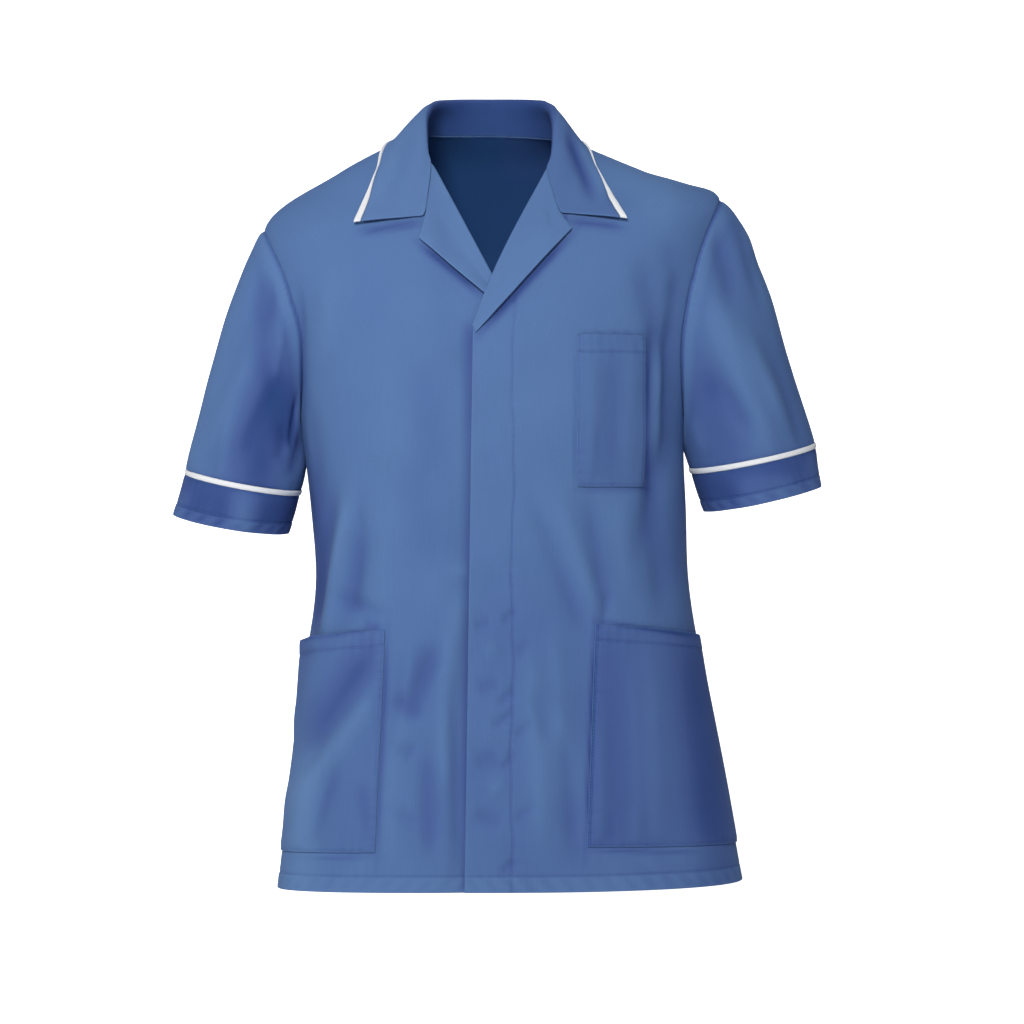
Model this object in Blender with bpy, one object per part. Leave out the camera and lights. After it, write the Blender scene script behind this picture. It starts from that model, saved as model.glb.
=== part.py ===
"""Short-sleeved work tunic, open and hollow as it is worn, with no wearer in it.

Frame: metres, +Z up, the front towards -Y and the wearer's left towards +X. The origin is at the base of the neck,
between the shoulders that carry the garment. Left and right are the wearer's. Tables are in millimetres.
"""

import bpy
import numpy as np

MM = 0.001

# Cloth and seams
WALL = 1.6 * MM
LAPEL_WALL = 1.4 * MM
POCKET_WALL = 1.4 * MM
PIPING_WALL = 2.0 * MM
SEAM_HALF_GAP = 0.2 * MM
NECK_GAP = 0.5 * MM
GORGE_GAP = 0.4 * MM
GORGE_ROLL_GAP = 1.8 * MM
HOOK_COLUMNS = 4
STAND_COLUMNS = 7
LAYER_GAP = 0.6 * MM
LAPEL_GAP = 1.1 * MM
HOOK_GAP = 0.6 * MM

# The worn form: one row a ring, hem to neck. Level is the way up the cloth from the hem. Each ring is a
# superellipse in plan, and its height changes from its sides to its front and back.
RING_COLUMNS = (
    "level",
    "front_z",
    "right_z",
    "left_z",
    "back_z",
    "right_x",
    "left_x",
    "front_y",
    "back_y",
    "squareness",
)
RINGS = np.array(
    [
        (0, -731, -736, -728, -736, -212, 252, -128, 124, 2.35),
        (115, -618, -620, -616, -620, -198, 232, -125, 121, 2.35),
        (211, -522, -523, -521, -523, -186, 213, -121, 114, 2.35),
        (307, -426, -426, -426, -426, -174, 198, -118, 108, 2.35),
        (367, -366, -366, -366, -366, -178, 196, -121, 109, 2.35),
        (448, -285, -285, -285, -285, -188, 194, -124, 114, 2.3),
        (533, -200, -198, -194, -196, -204, 207, -121, 116, 2.2),
        (598, -146, -134, -112, -130, -221, 225, -113, 112, 2.1),
        (650, -110, -81, -50, -76, -226, 232, -99, 100, 2.0),
        (735, -76, -23, -21, -14, -151, 154, -80, 82, 2.0),
        (815, -58, 17, 11, 20, -76, 77, -64, 62, 2.0),
    ]
)
HEM_LEVEL = 0.0
ARMPIT_LEVEL = 448.0
TIP_LEVEL = 650.0
NECK_LEVEL = 815.0
SWAY_POWER = 1.7

# Armhole: an oval in angle and level, wider at the back than at the front
ARMHOLE_FRONT_DEGREES = 27.0
ARMHOLE_BACK_DEGREES = 25.0
ARMHOLE_TOP_SHARE = 0.25

# Rows and columns of the panels
LOWER_ROWS = 12
CHEST_ROWS = 4
LAPEL_ROWS = 6
NECK_ROWS = 4
UPPER_ROWS = CHEST_ROWS + LAPEL_ROWS + NECK_ROWS
FRONT_COLUMNS = 12
BACK_SHOULDER_COLUMNS = 6
BACK_NECK_COLUMNS = 16

# Centre front, in front view (x, z): the free edges, the breaks, the bottom of the V and the tops of the rolls
EDGE_X = {"right": (19.0, 18.5), "left": (-24.0, -16.0)}
BREAK = {"right": (18.5, -160.0), "left": (-16.0, -182.0)}
V_BOTTOM = (3.5, -132.0)
ROLL_TOP = {"right": (-58.0, -17.0), "left": (57.0, -24.0)}
LAPEL_CORNER = {"right": (-68.8, -95.5), "left": (80.6, -85.7)}
LAPEL_FOOT = {"right": (16.0, -166.0), "left": (-13.0, -188.0)}
GORGE_END = {"right": (-63.0, -72.0), "left": (69.0, -69.5)}
COLLAR_POINT = {"right": (-132.5, -81.0), "left": (134.6, -77.2)}

# The under front lies this much further in, and more where the lapel comes between the fronts
UNDER_SINK = 2.4 * MM
UNDER_LAPEL_SINK = 2.7 * MM

# Largest folds of the body in front view and back view: both ends, half width and height, which is
# negative for a trough
FOLD_COLUMNS = ("x0", "z0", "x1", "z1", "width", "height")
FRONT_FOLDS = np.array(
    [
        (-140, -352, -164, -486, 13, 4.0),
        (-120, -380, -150, -470, 14, -3.0),
        (52, -352, 98, -455, 15, 3.0),
        (78, -352, 120, -440, 16, -2.5),
        (-60, -500, -88, -560, 18, -2.5),
        (62, -560, 76, -640, 16, 2.5),
        (168, -300, 150, -400, 12, -3.0),
        (150, -120, 170, -210, 13, -3.0),
        (-152, -130, -168, -210, 12, 2.5),
    ]
)
BACK_FOLDS = np.array(
    [
        (-150, -300, -120, -430, 16, 4.0),
        (145, -310, 112, -440, 15, 4.5),
        (-95, -340, -70, -450, 17, -3.0),
        (90, -330, 60, -455, 16, -3.0),
        (-40, -560, -48, -690, 20, 3.0),
        (66, -540, 80, -690, 20, 3.0),
        (0, -120, -30, -230, 20, -2.5),
    ]
)

SIDE_FADE = 35 * MM

# Sleeves: centre of the ring at the top of the cuff and at the hem, the half width towards the body, which is
# the lower side, and the half depth towards the front
SLEEVE_COLUMNS = ("x", "y", "z", "half_x", "half_z", "depth", "front_drop")
SLEEVE_RINGS = {
    "right": np.array(
        [(-246, 2, -329, 57.5, -11, 61, -5), (-260, 4, -373, 57.5, -10, 62, -6)]
    ),
    "left": np.array(
        [(262, 2, -305, -63, -13, 62, -5), (273.5, 4, -348, -58.5, -13, 62, -5)]
    ),
}
SLEEVE_LEAN = {"right": (-0.29, 0.03, -0.95), "left": (0.30, 0.03, -0.95)}
SLEEVE_ROWS = 7
CUFF_ROWS = 2
SLEEVE_STAND_OFF = 0.7 * MM
CUFF_PIPING_HEIGHT = 5.5 * MM
TOP_REACH = {"right": 96 * MM, "left": 118 * MM}
SIDE_REACH = 78 * MM
BOTTOM_REACH = 30 * MM
CUFF_REACH = 95 * MM

# Sleeve folds: place round the sleeve from the underarm forwards (0 to 1), way down (0 to 1), half width round
# and height
SLEEVE_FOLD_COLUMNS = ("round0", "down0", "round1", "down1", "width", "height")
SLEEVE_FOLDS = np.array(
    [
        (0.20, 0.20, 0.30, 0.95, 0.030, -2.5),
        (0.30, 0.15, 0.38, 0.90, 0.030, 3.0),
        (0.72, 0.20, 0.66, 0.90, 0.035, 3.0),
        (0.82, 0.25, 0.78, 0.95, 0.030, -2.5),
    ]
)

# Crest of the collar's roll from the gorge to the middle of the back, by the share of the way round half the
# neck. The right half starts further round, and both start this much above the cloth.
ROLL_COLUMNS = ("share", "x", "y", "z")
COLLAR_START = {"right": 0.06, "left": 0.0}
COLLAR_START_HEIGHT = 4.5 * MM
COLLAR_CLEAR = 1.5 * MM
COLLAR_ROLLS = np.array(
    [
        (0.12, 61.3, -39.0, -8.0),
        (0.24, 62.8, -24.0, 16.0),
        (0.36, 63.5, -4.0, 38.0),
        (0.52, 57.0, 22.0, 50.5),
        (0.68, 43.0, 46.0, 55.0),
        (0.84, 23.0, 61.0, 57.0),
        (1.00, 0.0, 66.0, 57.5),
    ]
)
# Outer edge behind the shoulders: share, angle and level. In front of them it runs straight, in front view,
# from the collar point towards the shoulder.
COLLAR_EDGE_COLUMNS = ("share", "degrees", "level")
COLLAR_EDGE = {
    "right": np.array([(0.42, 90, 782), (0.70, 135, 772), (1.00, 180, 762)]),
    "left": np.array([(0.42, 90, 791), (0.70, 135, 776), (1.00, 180, 762)]),
}
COLLAR_EDGE_TOP = {"right": (-114.0, -24.0), "left": (109.0, -24.0)}
COLLAR_EDGE_SHARES = (0.0, 0.1, 0.2, 0.3)
COLLAR_LIFT = 2.6 * MM
COLLAR_SHOULDER_LIFT = 1.0 * MM
COLLAR_FALL_SHARES = (0.1, 0.24, 0.38, 0.54, 0.72)
COLLAR_LANDING = 0.8
GORGE_SHARE = 0.38
GORGE_RUN_SHARE = 0.7
GORGE_FADE = 0.3
GORGE_FADE_POWER = 3.0
COLLAR_PIPING_WIDTH = 6.4 * MM
PIPING_SEAM_SHARE = 0.06
PIPING_PROUD = 0.4 * MM

# Pockets, in front view
CHEST_POCKET_X = (85.1, 152.8)
CHEST_POCKET_Z = (-337.4, -189.2)
HIP_POCKET_COLUMNS = (
    "inner_top_x",
    "inner_top_z",
    "inner_bottom_x",
    "inner_bottom_z",
    "side_top_z",
    "side_bottom_z",
    "gape",
)
HIP_POCKETS = {
    "right": (-101.2, -476.5, -110.9, -693.0, -495.0, -699.0, 9.0),
    "left": (103.0, -471.0, 94.7, -687.0, -488.0, -691.0, 3.5),
}

POCKET_SIDE_DEGREES = 89.2

COLOURS = {
    "cloth": (0.105, 0.225, 0.52, 1.0),
    "piping": (0.86, 0.87, 0.88, 1.0),
}
CLOTH_ROUGHNESS = 0.82

SIDES = {"right": -1.0, "left": 1.0}


def clear_scene():
    for item in list(bpy.data.objects):
        bpy.data.objects.remove(item, do_unlink=True)


def smooth(t):
    """Smooth step from 0 to 1."""
    t = np.clip(t, 0.0, 1.0)
    return t * t * (3.0 - 2.0 * t)


def unit(v):
    return v / np.maximum(np.linalg.norm(v, axis=-1, keepdims=True), 1e-12)


def curve_through(keys, values, at):
    """Smooth curve through the values at the keys: cubic pieces whose slopes come from the neighbours."""
    keys = np.asarray(keys, float)
    values = np.asarray(values, float).reshape(len(keys), -1)
    slopes = np.gradient(values, keys, axis=0)
    at = np.clip(np.asarray(at, float), keys[0], keys[-1])
    i = np.clip(np.searchsorted(keys, at, side="right") - 1, 0, len(keys) - 2)
    step = (keys[i + 1] - keys[i])[..., None]
    t = (at - keys[i])[..., None] / step
    return (
        (1 + 2 * t) * (1 - t) ** 2 * values[i]
        + t * (1 - t) ** 2 * step * slopes[i]
        + t * t * (3 - 2 * t) * values[i + 1]
        + t * t * (t - 1) * step * slopes[i + 1]
    )


def body(angle, level):
    """Outer surface of the worn body at an angle round it (0 in front, 90 degrees at the left) and a level."""
    angle, level = np.broadcast_arrays(np.asarray(angle, float), level)
    ring = curve_through(RINGS[:, 0], RINGS[:, 1:], level)
    front_z, right_z, left_z, back_z, right_x, left_x, front_y, back_y, power = (
        np.moveaxis(ring, -1, 0)
    )
    s, c = np.sin(angle), np.cos(angle)
    reach = (np.abs(s) ** power + np.abs(c) ** power) ** (-1.0 / power)
    x = np.where(s > 0, left_x, -right_x) * reach * s
    y = -np.where(c > 0, -front_y, back_y) * reach * c
    side_z = np.where(s > 0, left_z, right_z)
    middle_z = np.where(c > 0, front_z, back_z)
    z = side_z + (middle_z - side_z) * np.abs(c) ** SWAY_POWER
    return np.stack([x, y, z], axis=-1) * MM


def body_normal(angle, level):
    """Outward direction of the body's surface, from small steps round and up."""
    turn, rise = 0.002, 1.0
    round_step = body(angle + turn, level) - body(angle - turn, level)
    up_step = body(angle, level + rise) - body(angle, level - rise)
    return unit(np.cross(round_step, up_step))


def fold_height(points, folds):
    """Height of the folds at points in front view: a soft ridge along each line, faded at both ends."""
    x, z = points[..., 0] / MM, points[..., 2] / MM
    total = np.zeros(x.shape)
    for x0, z0, x1, z1, width, height in folds:
        along_x, along_z = x1 - x0, z1 - z0
        length = np.hypot(along_x, along_z)
        t = ((x - x0) * along_x + (z - z0) * along_z) / length**2
        off = ((x - x0) * along_z - (z - z0) * along_x) / length
        fade = smooth((t + 0.25) / 0.5) * smooth((1.25 - t) / 0.5)
        total += height * np.exp(-((off / width) ** 2)) * fade
    return total * MM


def body_folds(points):
    """Folds of the front or the back, which fade out towards the side seams."""
    y = points[..., 1]
    folds = np.where(
        y < 0, fold_height(points, FRONT_FOLDS), fold_height(points, BACK_FOLDS)
    )
    return folds * smooth(np.abs(y) / SIDE_FADE)


def angle_at(x, level):
    """Angle in the front half at which a ring passes x, found by halving."""
    low = np.full(np.shape(level), -np.pi / 2)
    high = np.full(np.shape(level), np.pi / 2)
    for _ in range(40):
        middle = (low + high) / 2
        right_of = body(middle, level)[..., 0] > x
        high = np.where(right_of, middle, high)
        low = np.where(right_of, low, middle)
    return (low + high) / 2


def place_in_front(x, z):
    """Angle and level of the front's point at x and z in front view, by Newton's steps."""
    x, z = np.asarray(x, float) * MM, np.asarray(z, float) * MM
    angle = np.arcsin(np.clip(x / (0.2 * np.ones_like(z)), -0.9, 0.9))
    level = np.interp(z, RINGS[:, 1] * MM, RINGS[:, 0])
    turn, rise = 1e-4, 0.05
    for _ in range(25):
        at = body(angle, level)
        by_turn = (body(angle + turn, level) - at) / turn
        by_rise = (at - body(angle, level - rise)) / rise
        a, b = by_turn[..., 0], by_rise[..., 0]
        c, d = by_turn[..., 2], by_rise[..., 2]
        ex, ez = x - at[..., 0], z - at[..., 2]
        det = a * d - b * c
        det = np.where(np.abs(det) < 1e-9, 1e-9, det)
        angle = np.clip(
            angle + np.clip((d * ex - b * ez) / det, -0.2, 0.2), -1.56, 1.56
        )
        level = np.clip(level + np.clip((a * ez - c * ex) / det, -40, 40), 1, NECK_LEVEL)
    return angle, level


def between(values, count):
    """Evenly spaced points along a line of (angle, level) keys, by their length on the cloth."""
    values = np.asarray(values, float)
    share = np.linspace(0, 1, len(values))
    fine = np.linspace(0, 1, 241)
    path = curve_through(share, values, fine)
    points = body(path[:, 0], path[:, 1])
    run = np.r_[0, np.cumsum(np.linalg.norm(np.diff(points, axis=0), axis=1))]
    at = np.interp(np.linspace(0, run[-1], count + 1), run, fine)
    return curve_through(share, values, at)


def armhole(side, front):
    """(angle, level) down one half of an armhole, from the armpit to the shoulder tip."""
    phase = np.linspace(-np.pi / 2, np.pi / 2, UPPER_ROWS + 1)
    wide = np.radians(ARMHOLE_FRONT_DEGREES if front else ARMHOLE_BACK_DEGREES)
    turn = wide * np.cos(phase) * (1 + ARMHOLE_TOP_SHARE * np.sin(phase))
    angle = np.pi / 2 + (-turn if front else turn)
    level = ARMPIT_LEVEL + (TIP_LEVEL - ARMPIT_LEVEL) * (1 + np.sin(phase)) / 2
    return np.stack([SIDES[side] * angle, level], axis=-1)


def line_in_front(keys, count):
    """Evenly spaced points of a smooth line through keys in front view."""
    keys = np.asarray(keys, float)
    run = np.r_[0, np.cumsum(np.linalg.norm(np.diff(keys, axis=0), axis=1))]
    return curve_through(run, keys, np.linspace(0, run[-1], count + 1))


def along_in_front(keys, count):
    """(angle, level) of evenly spaced points of a smooth line through keys in front view."""
    line = line_in_front(keys, count)
    return np.stack(place_in_front(line[:, 0], line[:, 1]), axis=-1)


def roll_line(side):
    """(angle, level) up the roll line, from the break to the top."""
    return along_in_front([BREAK[side], V_BOTTOM, ROLL_TOP[side]], LAPEL_ROWS)


def front_neck(side):
    """(angle, level) keys from the top of the roll line to the shoulder seam."""
    top = roll_line(side)[-1]
    shoulder = np.array([SIDES[side] * np.pi / 2, NECK_LEVEL])
    return np.array([top, (top + shoulder) / 2, shoulder])


def front_inner_edge(side):
    """(angle, level) up the free edge of a front, round its roll line and neck to the shoulder seam."""
    lower = np.linspace(HEM_LEVEL, ARMPIT_LEVEL, LOWER_ROWS + 1)
    roll = roll_line(side)
    chest = np.linspace(ARMPIT_LEVEL, roll[0, 1], CHEST_ROWS + 1)[1:-1]
    levels = np.r_[lower, chest]
    bottom_x, top_x = EDGE_X[side]
    x = (bottom_x + (top_x - bottom_x) * levels / roll[0, 1]) * MM
    edge = np.stack([angle_at(x, levels), levels], axis=-1)
    neck = between(front_neck(side), NECK_ROWS)
    return np.concatenate([edge, roll, neck[1:]])


def front_outer_edge(side):
    """(angle, level) up the side seam and the armhole's front to the shoulder tip."""
    lower = np.linspace(HEM_LEVEL, ARMPIT_LEVEL, LOWER_ROWS + 1)[:-1]
    seam = np.stack([np.full(LOWER_ROWS, SIDES[side] * np.pi / 2), lower], axis=-1)
    return np.concatenate([seam, armhole(side, front=True)])


def under_sink(points):
    """How far the under front is set in near the centre, more where the lapel lies between the fronts."""
    x, z = points[..., 0], points[..., 2]
    reach = smooth((x + 0.070) / 0.046)
    lapel = smooth((z + 0.225) / 0.04) * smooth((-0.060 - z) / 0.08)
    return -(UNDER_SINK + UNDER_LAPEL_SINK * lapel) * reach


def body_cloth(angle, level, side=None):
    """Points and outward directions of the cloth, with its folds, and set in on the under front."""
    points, normals = body(angle, level), body_normal(angle, level)
    raised = body_folds(points)
    if side == "right":
        raised = raised + under_sink(points)
    return points + normals * raised[..., None], normals


def front_net(side):
    """(angle, level) of each front point: straight rows from the inner edge to the outer one."""
    inner, outer = front_inner_edge(side), front_outer_edge(side)
    share = np.linspace(0, 1, FRONT_COLUMNS + 1)[None, :, None]
    return inner[:, None] * (1 - share) + outer[:, None] * share


def back_net():
    """(angle, level) of each back point, blended between the hem, the side seams and armholes, and the
    shoulder seams and neck."""
    columns = 2 * BACK_SHOULDER_COLUMNS + BACK_NECK_COLUMNS
    right, left = 1.5 * np.pi, 0.5 * np.pi
    share = np.linspace(0, 1, columns + 1)
    lower = np.linspace(HEM_LEVEL, ARMPIT_LEVEL, LOWER_ROWS + 1)
    angles = right + (left - right) * share
    lower_net = np.stack(np.meshgrid(angles, lower), axis=-1)
    top = np.concatenate(
        [
            np.stack(
                [
                    np.full(BACK_SHOULDER_COLUMNS, right),
                    np.linspace(TIP_LEVEL, NECK_LEVEL, BACK_SHOULDER_COLUMNS + 1)[:-1],
                ],
                axis=-1,
            ),
            np.stack(
                [
                    np.linspace(right, left, BACK_NECK_COLUMNS + 1),
                    np.full(BACK_NECK_COLUMNS + 1, NECK_LEVEL),
                ],
                axis=-1,
            ),
            np.stack(
                [
                    np.full(BACK_SHOULDER_COLUMNS, left),
                    np.linspace(NECK_LEVEL, TIP_LEVEL, BACK_SHOULDER_COLUMNS + 1)[1:],
                ],
                axis=-1,
            ),
        ]
    )
    bottom = lower_net[-1]
    right_edge = armhole("right", front=False)
    right_edge[:, 0] += 2 * np.pi
    left_edge = armhole("left", front=False)
    up = np.linspace(0, 1, UPPER_ROWS + 1)[:, None, None]
    across = share[None, :, None]
    upper_net = (
        (1 - up) * bottom[None]
        + up * top[None]
        + (1 - across) * right_edge[:, None]
        + across * left_edge[:, None]
        - (1 - up) * ((1 - across) * bottom[0] + across * bottom[-1])
        - up * ((1 - across) * top[0] + across * top[-1])
    )
    return np.concatenate([lower_net, upper_net[1:]])


def pull_in(grid, gap, round_row=False):
    """Moves a grid's edge points a little towards their neighbours inside, which leaves the seam gap."""
    grid = grid.copy()
    edges = [(0, 1, 0), (-1, -2, 0)]
    if not round_row:
        edges += [(0, 1, 1), (-1, -2, 1)]
    for edge, inside, axis in edges:
        line = np.take(grid, edge, axis=axis)
        way = unit(np.take(grid, inside, axis=axis) - line)
        if axis == 0:
            grid[edge] = line + way * gap
        else:
            grid[:, edge] = line + way * gap
    return grid


def part_at_gorge(grid, edge, inside, rolled):
    """Moves a grid's row at the gorge back along its columns, and further where the cloth rolls over."""
    gap = np.full(grid.shape[1], GORGE_GAP)
    gap[:rolled] = GORGE_ROLL_GAP
    grid[edge] += unit(grid[inside] - grid[edge]) * gap[:, None]


def make_wall(name, outer, inner, material, round_row=False, even_split=False):
    """One closed solid between an outer and an inner grid of points of the same rows and columns. Each cell is
    split along its shorter diagonal, or evenly along the same one."""
    rows, columns = outer.shape[:2]
    points = np.concatenate([outer.reshape(-1, 3), inner.reshape(-1, 3)])
    index = np.arange(rows * columns).reshape(rows, columns)
    if round_row:
        index = np.concatenate([index, index[:, :1]], axis=1)
    a, b = index[:-1, :-1].ravel(), index[:-1, 1:].ravel()
    c, d = index[1:, 1:].ravel(), index[1:, :-1].ravel()
    layer = rows * columns
    one_way = np.stack([a, b, c, a, c, d], axis=-1)
    other_way = np.stack([a, b, d, b, c, d], axis=-1)
    first = np.linalg.norm(points[a] - points[c], axis=-1)
    second = np.linalg.norm(points[b] - points[d], axis=-1)
    split = even_split | (first <= second)
    skin = np.where(split[:, None], one_way, other_way).reshape(-1, 3)
    faces = [skin, skin[:, ::-1] + layer]
    rims = [index[0][::-1], index[-1]]
    if not round_row:
        rims += [index[:, 0], index[::-1, -1]]
    for rim in rims:
        start, end = rim[:-1], rim[1:]
        faces.append(np.stack([start, end, end + layer], axis=-1))
        faces.append(np.stack([start, end + layer, start + layer], axis=-1))
    faces = np.concatenate(faces)
    corners = points[faces]
    if np.einsum("ij,ij->", corners[:, 0], np.cross(corners[:, 1], corners[:, 2])) < 0:
        faces = faces[:, ::-1]
    mesh = bpy.data.meshes.new(name)
    mesh.from_pydata(points.tolist(), [], faces.tolist())
    mesh.validate()
    mesh.shade_smooth()
    mesh.set_sharp_from_angle(angle=np.radians(50))
    mesh.materials.append(material)
    piece = bpy.data.objects.new(name, mesh)
    bpy.context.scene.collection.objects.link(piece)
    return piece


def make_material(name, colour, roughness):
    material = bpy.data.materials.new(name)
    material.use_nodes = True
    shader = material.node_tree.nodes["Principled BSDF"]
    shader.inputs["Base Color"].default_value = colour
    shader.inputs["Roughness"].default_value = roughness
    shader.inputs["Metallic"].default_value = 0.0
    return material


def cloth_material(name):
    return make_material(name + "_cloth", COLOURS["cloth"], CLOTH_ROUGHNESS)


def piping_material(name):
    return make_material(name + "_cotton", COLOURS["piping"], CLOTH_ROUGHNESS)


def make_panel(name, net, side=None):
    """A body panel: the cloth's outer points, and the same points set in by the wall."""
    points, normals = body_cloth(net[..., 0], net[..., 1], side)
    outer = pull_in(points, SEAM_HALF_GAP)
    inner = pull_in(points - normals * WALL, SEAM_HALF_GAP)
    make_wall(name, outer, inner, cloth_material(name), even_split=side is not None)


def index_on(net, angle, level):
    """Row and column, with fractions, at which a front's net holds an angle and a level, found by halving."""
    rows = np.arange(len(net))
    low, high = np.zeros(np.shape(level)), np.full(np.shape(level), len(net) - 1.5)
    for _ in range(40):
        row = (low + high) / 2
        ends = [np.interp(row, rows, net[:, j, k]) for j in (0, -1) for k in (0, 1)]
        share = np.clip((angle - ends[0]) / (ends[2] - ends[0]), 0, 1)
        above = ends[1] + (ends[3] - ends[1]) * share > level - 1e-3
        high = np.where(above, row, high)
        low = np.where(above, low, row)
    return row, share * FRONT_COLUMNS


def sample(grid, row, column):
    """Points of a panel's own facets at fractions of its rows and columns."""
    i = np.clip(np.floor(row).astype(int), 0, grid.shape[0] - 2)
    j = np.clip(np.floor(column).astype(int), 0, grid.shape[1] - 2)
    a, b = (row - i)[..., None], (column - j)[..., None]
    here, across, over, up = grid[i, j], grid[i, j + 1], grid[i + 1, j + 1], grid[i + 1, j]
    low = here + b * (across - here) + a * (over - across)
    high = here + a * (up - here) + b * (over - up)
    return np.where(b >= a, low, high)


def facet_index(side, angle, level):
    """Row and column at which a front's facets hold the cloth's point at an angle and a level, by Newton's
    steps along the facets."""
    net = front_net(side)
    grid = body_cloth(net[..., 0], net[..., 1], side)[0]
    target = body_cloth(angle, level, side)[0]
    row, column = index_on(net, angle, level)
    step = 0.05
    for _ in range(20):
        miss = target - sample(grid, row, column)
        by_row = sample(grid, row + step, column) - sample(grid, row - step, column)
        by_column = sample(grid, row, column + step) - sample(grid, row, column - step)
        a, b, c = (
            (by_row**2).sum(-1),
            (by_row * by_column).sum(-1),
            (by_column**2).sum(-1),
        )
        d, e = (by_row * miss).sum(-1), (by_column * miss).sum(-1)
        det = np.maximum(a * c - b * b, 1e-30)
        row = np.clip(row + step * (c * d - b * e) / det, 0, len(net) - 1)
        column = np.clip(column + step * (a * e - b * d) / det, 0, FRONT_COLUMNS)
    return row, column


def on_front(side, row, column):
    """Points of a front's own facets and their outward directions."""
    net = front_net(side)
    points, normals = body_cloth(net[..., 0], net[..., 1], side)
    return sample(points, row, column), unit(sample(normals, row, column))


def make_lapel(side):
    """The turned-back facing: a small round at the roll line, then flat on the front to its outer edge."""
    way = SIDES[side]
    roll = line_in_front([BREAK[side], V_BOTTOM, ROLL_TOP[side]], LAPEL_ROWS)
    edge = line_in_front([LAPEL_FOOT[side], LAPEL_CORNER[side]], LAPEL_ROWS)
    across = np.array([0.0, 0.12, 0.3, 0.5, GORGE_RUN_SHARE, 0.85, 1.0])
    share = across[None, :, None]
    view = roll[:, None] * (1 - share) + edge[:, None] * share
    gorge = np.array([ROLL_TOP[side], GORGE_END[side], LAPEL_CORNER[side]])
    shares = (0.0, GORGE_RUN_SHARE, 1.0)
    top = np.stack([np.interp(across, shares, gorge[:, k]) for k in (0, 1)], axis=-1)
    rise = np.linspace(0, 1, LAPEL_ROWS + 1)[:, None, None] ** GORGE_FADE_POWER
    view = view + (top - view[-1]) * rise
    angle, level = place_in_front(view[..., 0], view[..., 1])
    points, normals = on_front(side, *facet_index(side, angle, level))
    opening = unit(points[:, 0] - points[:, 1])[:, None]
    up = np.linspace(0, 1, LAPEL_ROWS + 1)[:, None]
    soft = smooth((up - 0.25) / 0.4)
    spring = 1.6 * MM * soft * np.exp(-across[None] * 5.0)
    lift = LAPEL_GAP + LAPEL_WALL + spring
    outer = points + normals * lift[..., None]
    inner = outer - normals * LAPEL_WALL
    first_up = lift[:, :1, None]
    hook_outer = points[:, :1] + opening * (HOOK_GAP + LAPEL_WALL)
    hook_inner = points[:, :1] + opening * HOOK_GAP
    foot_drop = -normals[:, :1] * WALL * 0.8
    low_outer, low_inner = hook_outer + foot_drop, hook_inner + foot_drop
    turn_outer = hook_outer + normals[:, :1] * (first_up - 0.7 * MM)
    turn_inner = hook_inner + normals[:, :1] * (first_up - LAPEL_WALL - 0.1 * MM)
    outer = np.concatenate([low_outer, turn_outer, outer], axis=1)
    inner = np.concatenate([low_inner, turn_inner, inner], axis=1)
    outer = pull_in(outer, SEAM_HALF_GAP)
    inner = pull_in(inner, SEAM_HALF_GAP)
    for face in (outer, inner):
        part_at_gorge(face, -1, -2, HOOK_COLUMNS)
    if way < 0:
        outer, inner = outer[:, ::-1], inner[:, ::-1]
    name = "lapel_" + side
    make_wall(name, outer, inner, cloth_material(name))


def armhole_ring(side):
    """Points and outward directions round an armhole, from the armpit forwards over the tip and back."""
    net = np.concatenate(
        [armhole(side, front=True), armhole(side, front=False)[-2:0:-1]]
    )
    return body_cloth(net[:, 0], net[:, 1])


def cuff_point(side, turn, down):
    """A point of the cuff: an oval at the top of the cuff and one at the hem, and straight between them."""
    rings = SLEEVE_RINGS[side] * MM
    x, y, z, half_x, half_z, depth, front_drop = [
        rings[0, i] + (rings[1, i] - rings[0, i]) * down for i in range(7)
    ]
    c, s = np.cos(turn), np.sin(turn)
    return np.stack(
        np.broadcast_arrays(
            x + half_x * c, y - depth * s, z + half_z * c + front_drop * s
        ),
        axis=-1,
    )


def ring_normals(grid):
    """Outward directions of a grid whose rows are closed rings."""
    around = np.roll(grid, -1, axis=1) - np.roll(grid, 1, axis=1)
    along = np.gradient(grid, axis=0)
    normals = unit(np.cross(around, along))
    away = grid - grid.mean(axis=1, keepdims=True)
    return normals * np.sign((normals * away).sum())


def sleeve_leaving(side):
    """How each line of a sleeve leaves the armhole: outwards over the tip, forwards in front, down below."""
    phase = np.linspace(-np.pi / 2, 1.5 * np.pi, 2 * UPPER_ROWS + 1)[:-1]
    up, forward = np.sin(phase), np.cos(phase)
    over, beside, under = np.maximum(up, 0) ** 2, forward**2, np.maximum(-up, 0) ** 2
    way = np.stack(
        [
            SIDES[side] * (0.75 * over + 0.80 * beside + 0.25 * under),
            -0.30 * beside * np.sign(forward),
            -(0.66 * over + 0.52 * beside + 1.0 * under),
        ],
        axis=-1,
    )
    reach = TOP_REACH[side] * over + SIDE_REACH * beside + BOTTOM_REACH * under
    return unit(way) * reach[:, None]


def sleeve_folds(turns, downs):
    """Folds along the sleeve, by the way round and down it."""
    around, down = turns / (2 * np.pi), downs
    total = np.zeros(np.broadcast(around, down).shape)
    for round0, down0, round1, down1, width, height in SLEEVE_FOLDS:
        t = (down - down0) / (down1 - down0)
        off = around - (round0 + (round1 - round0) * t)
        fade = smooth(t / 0.35) * smooth((1 - t) / 0.35)
        total = total + height * np.exp(-((off / width) ** 2)) * fade
    return total * MM


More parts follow.
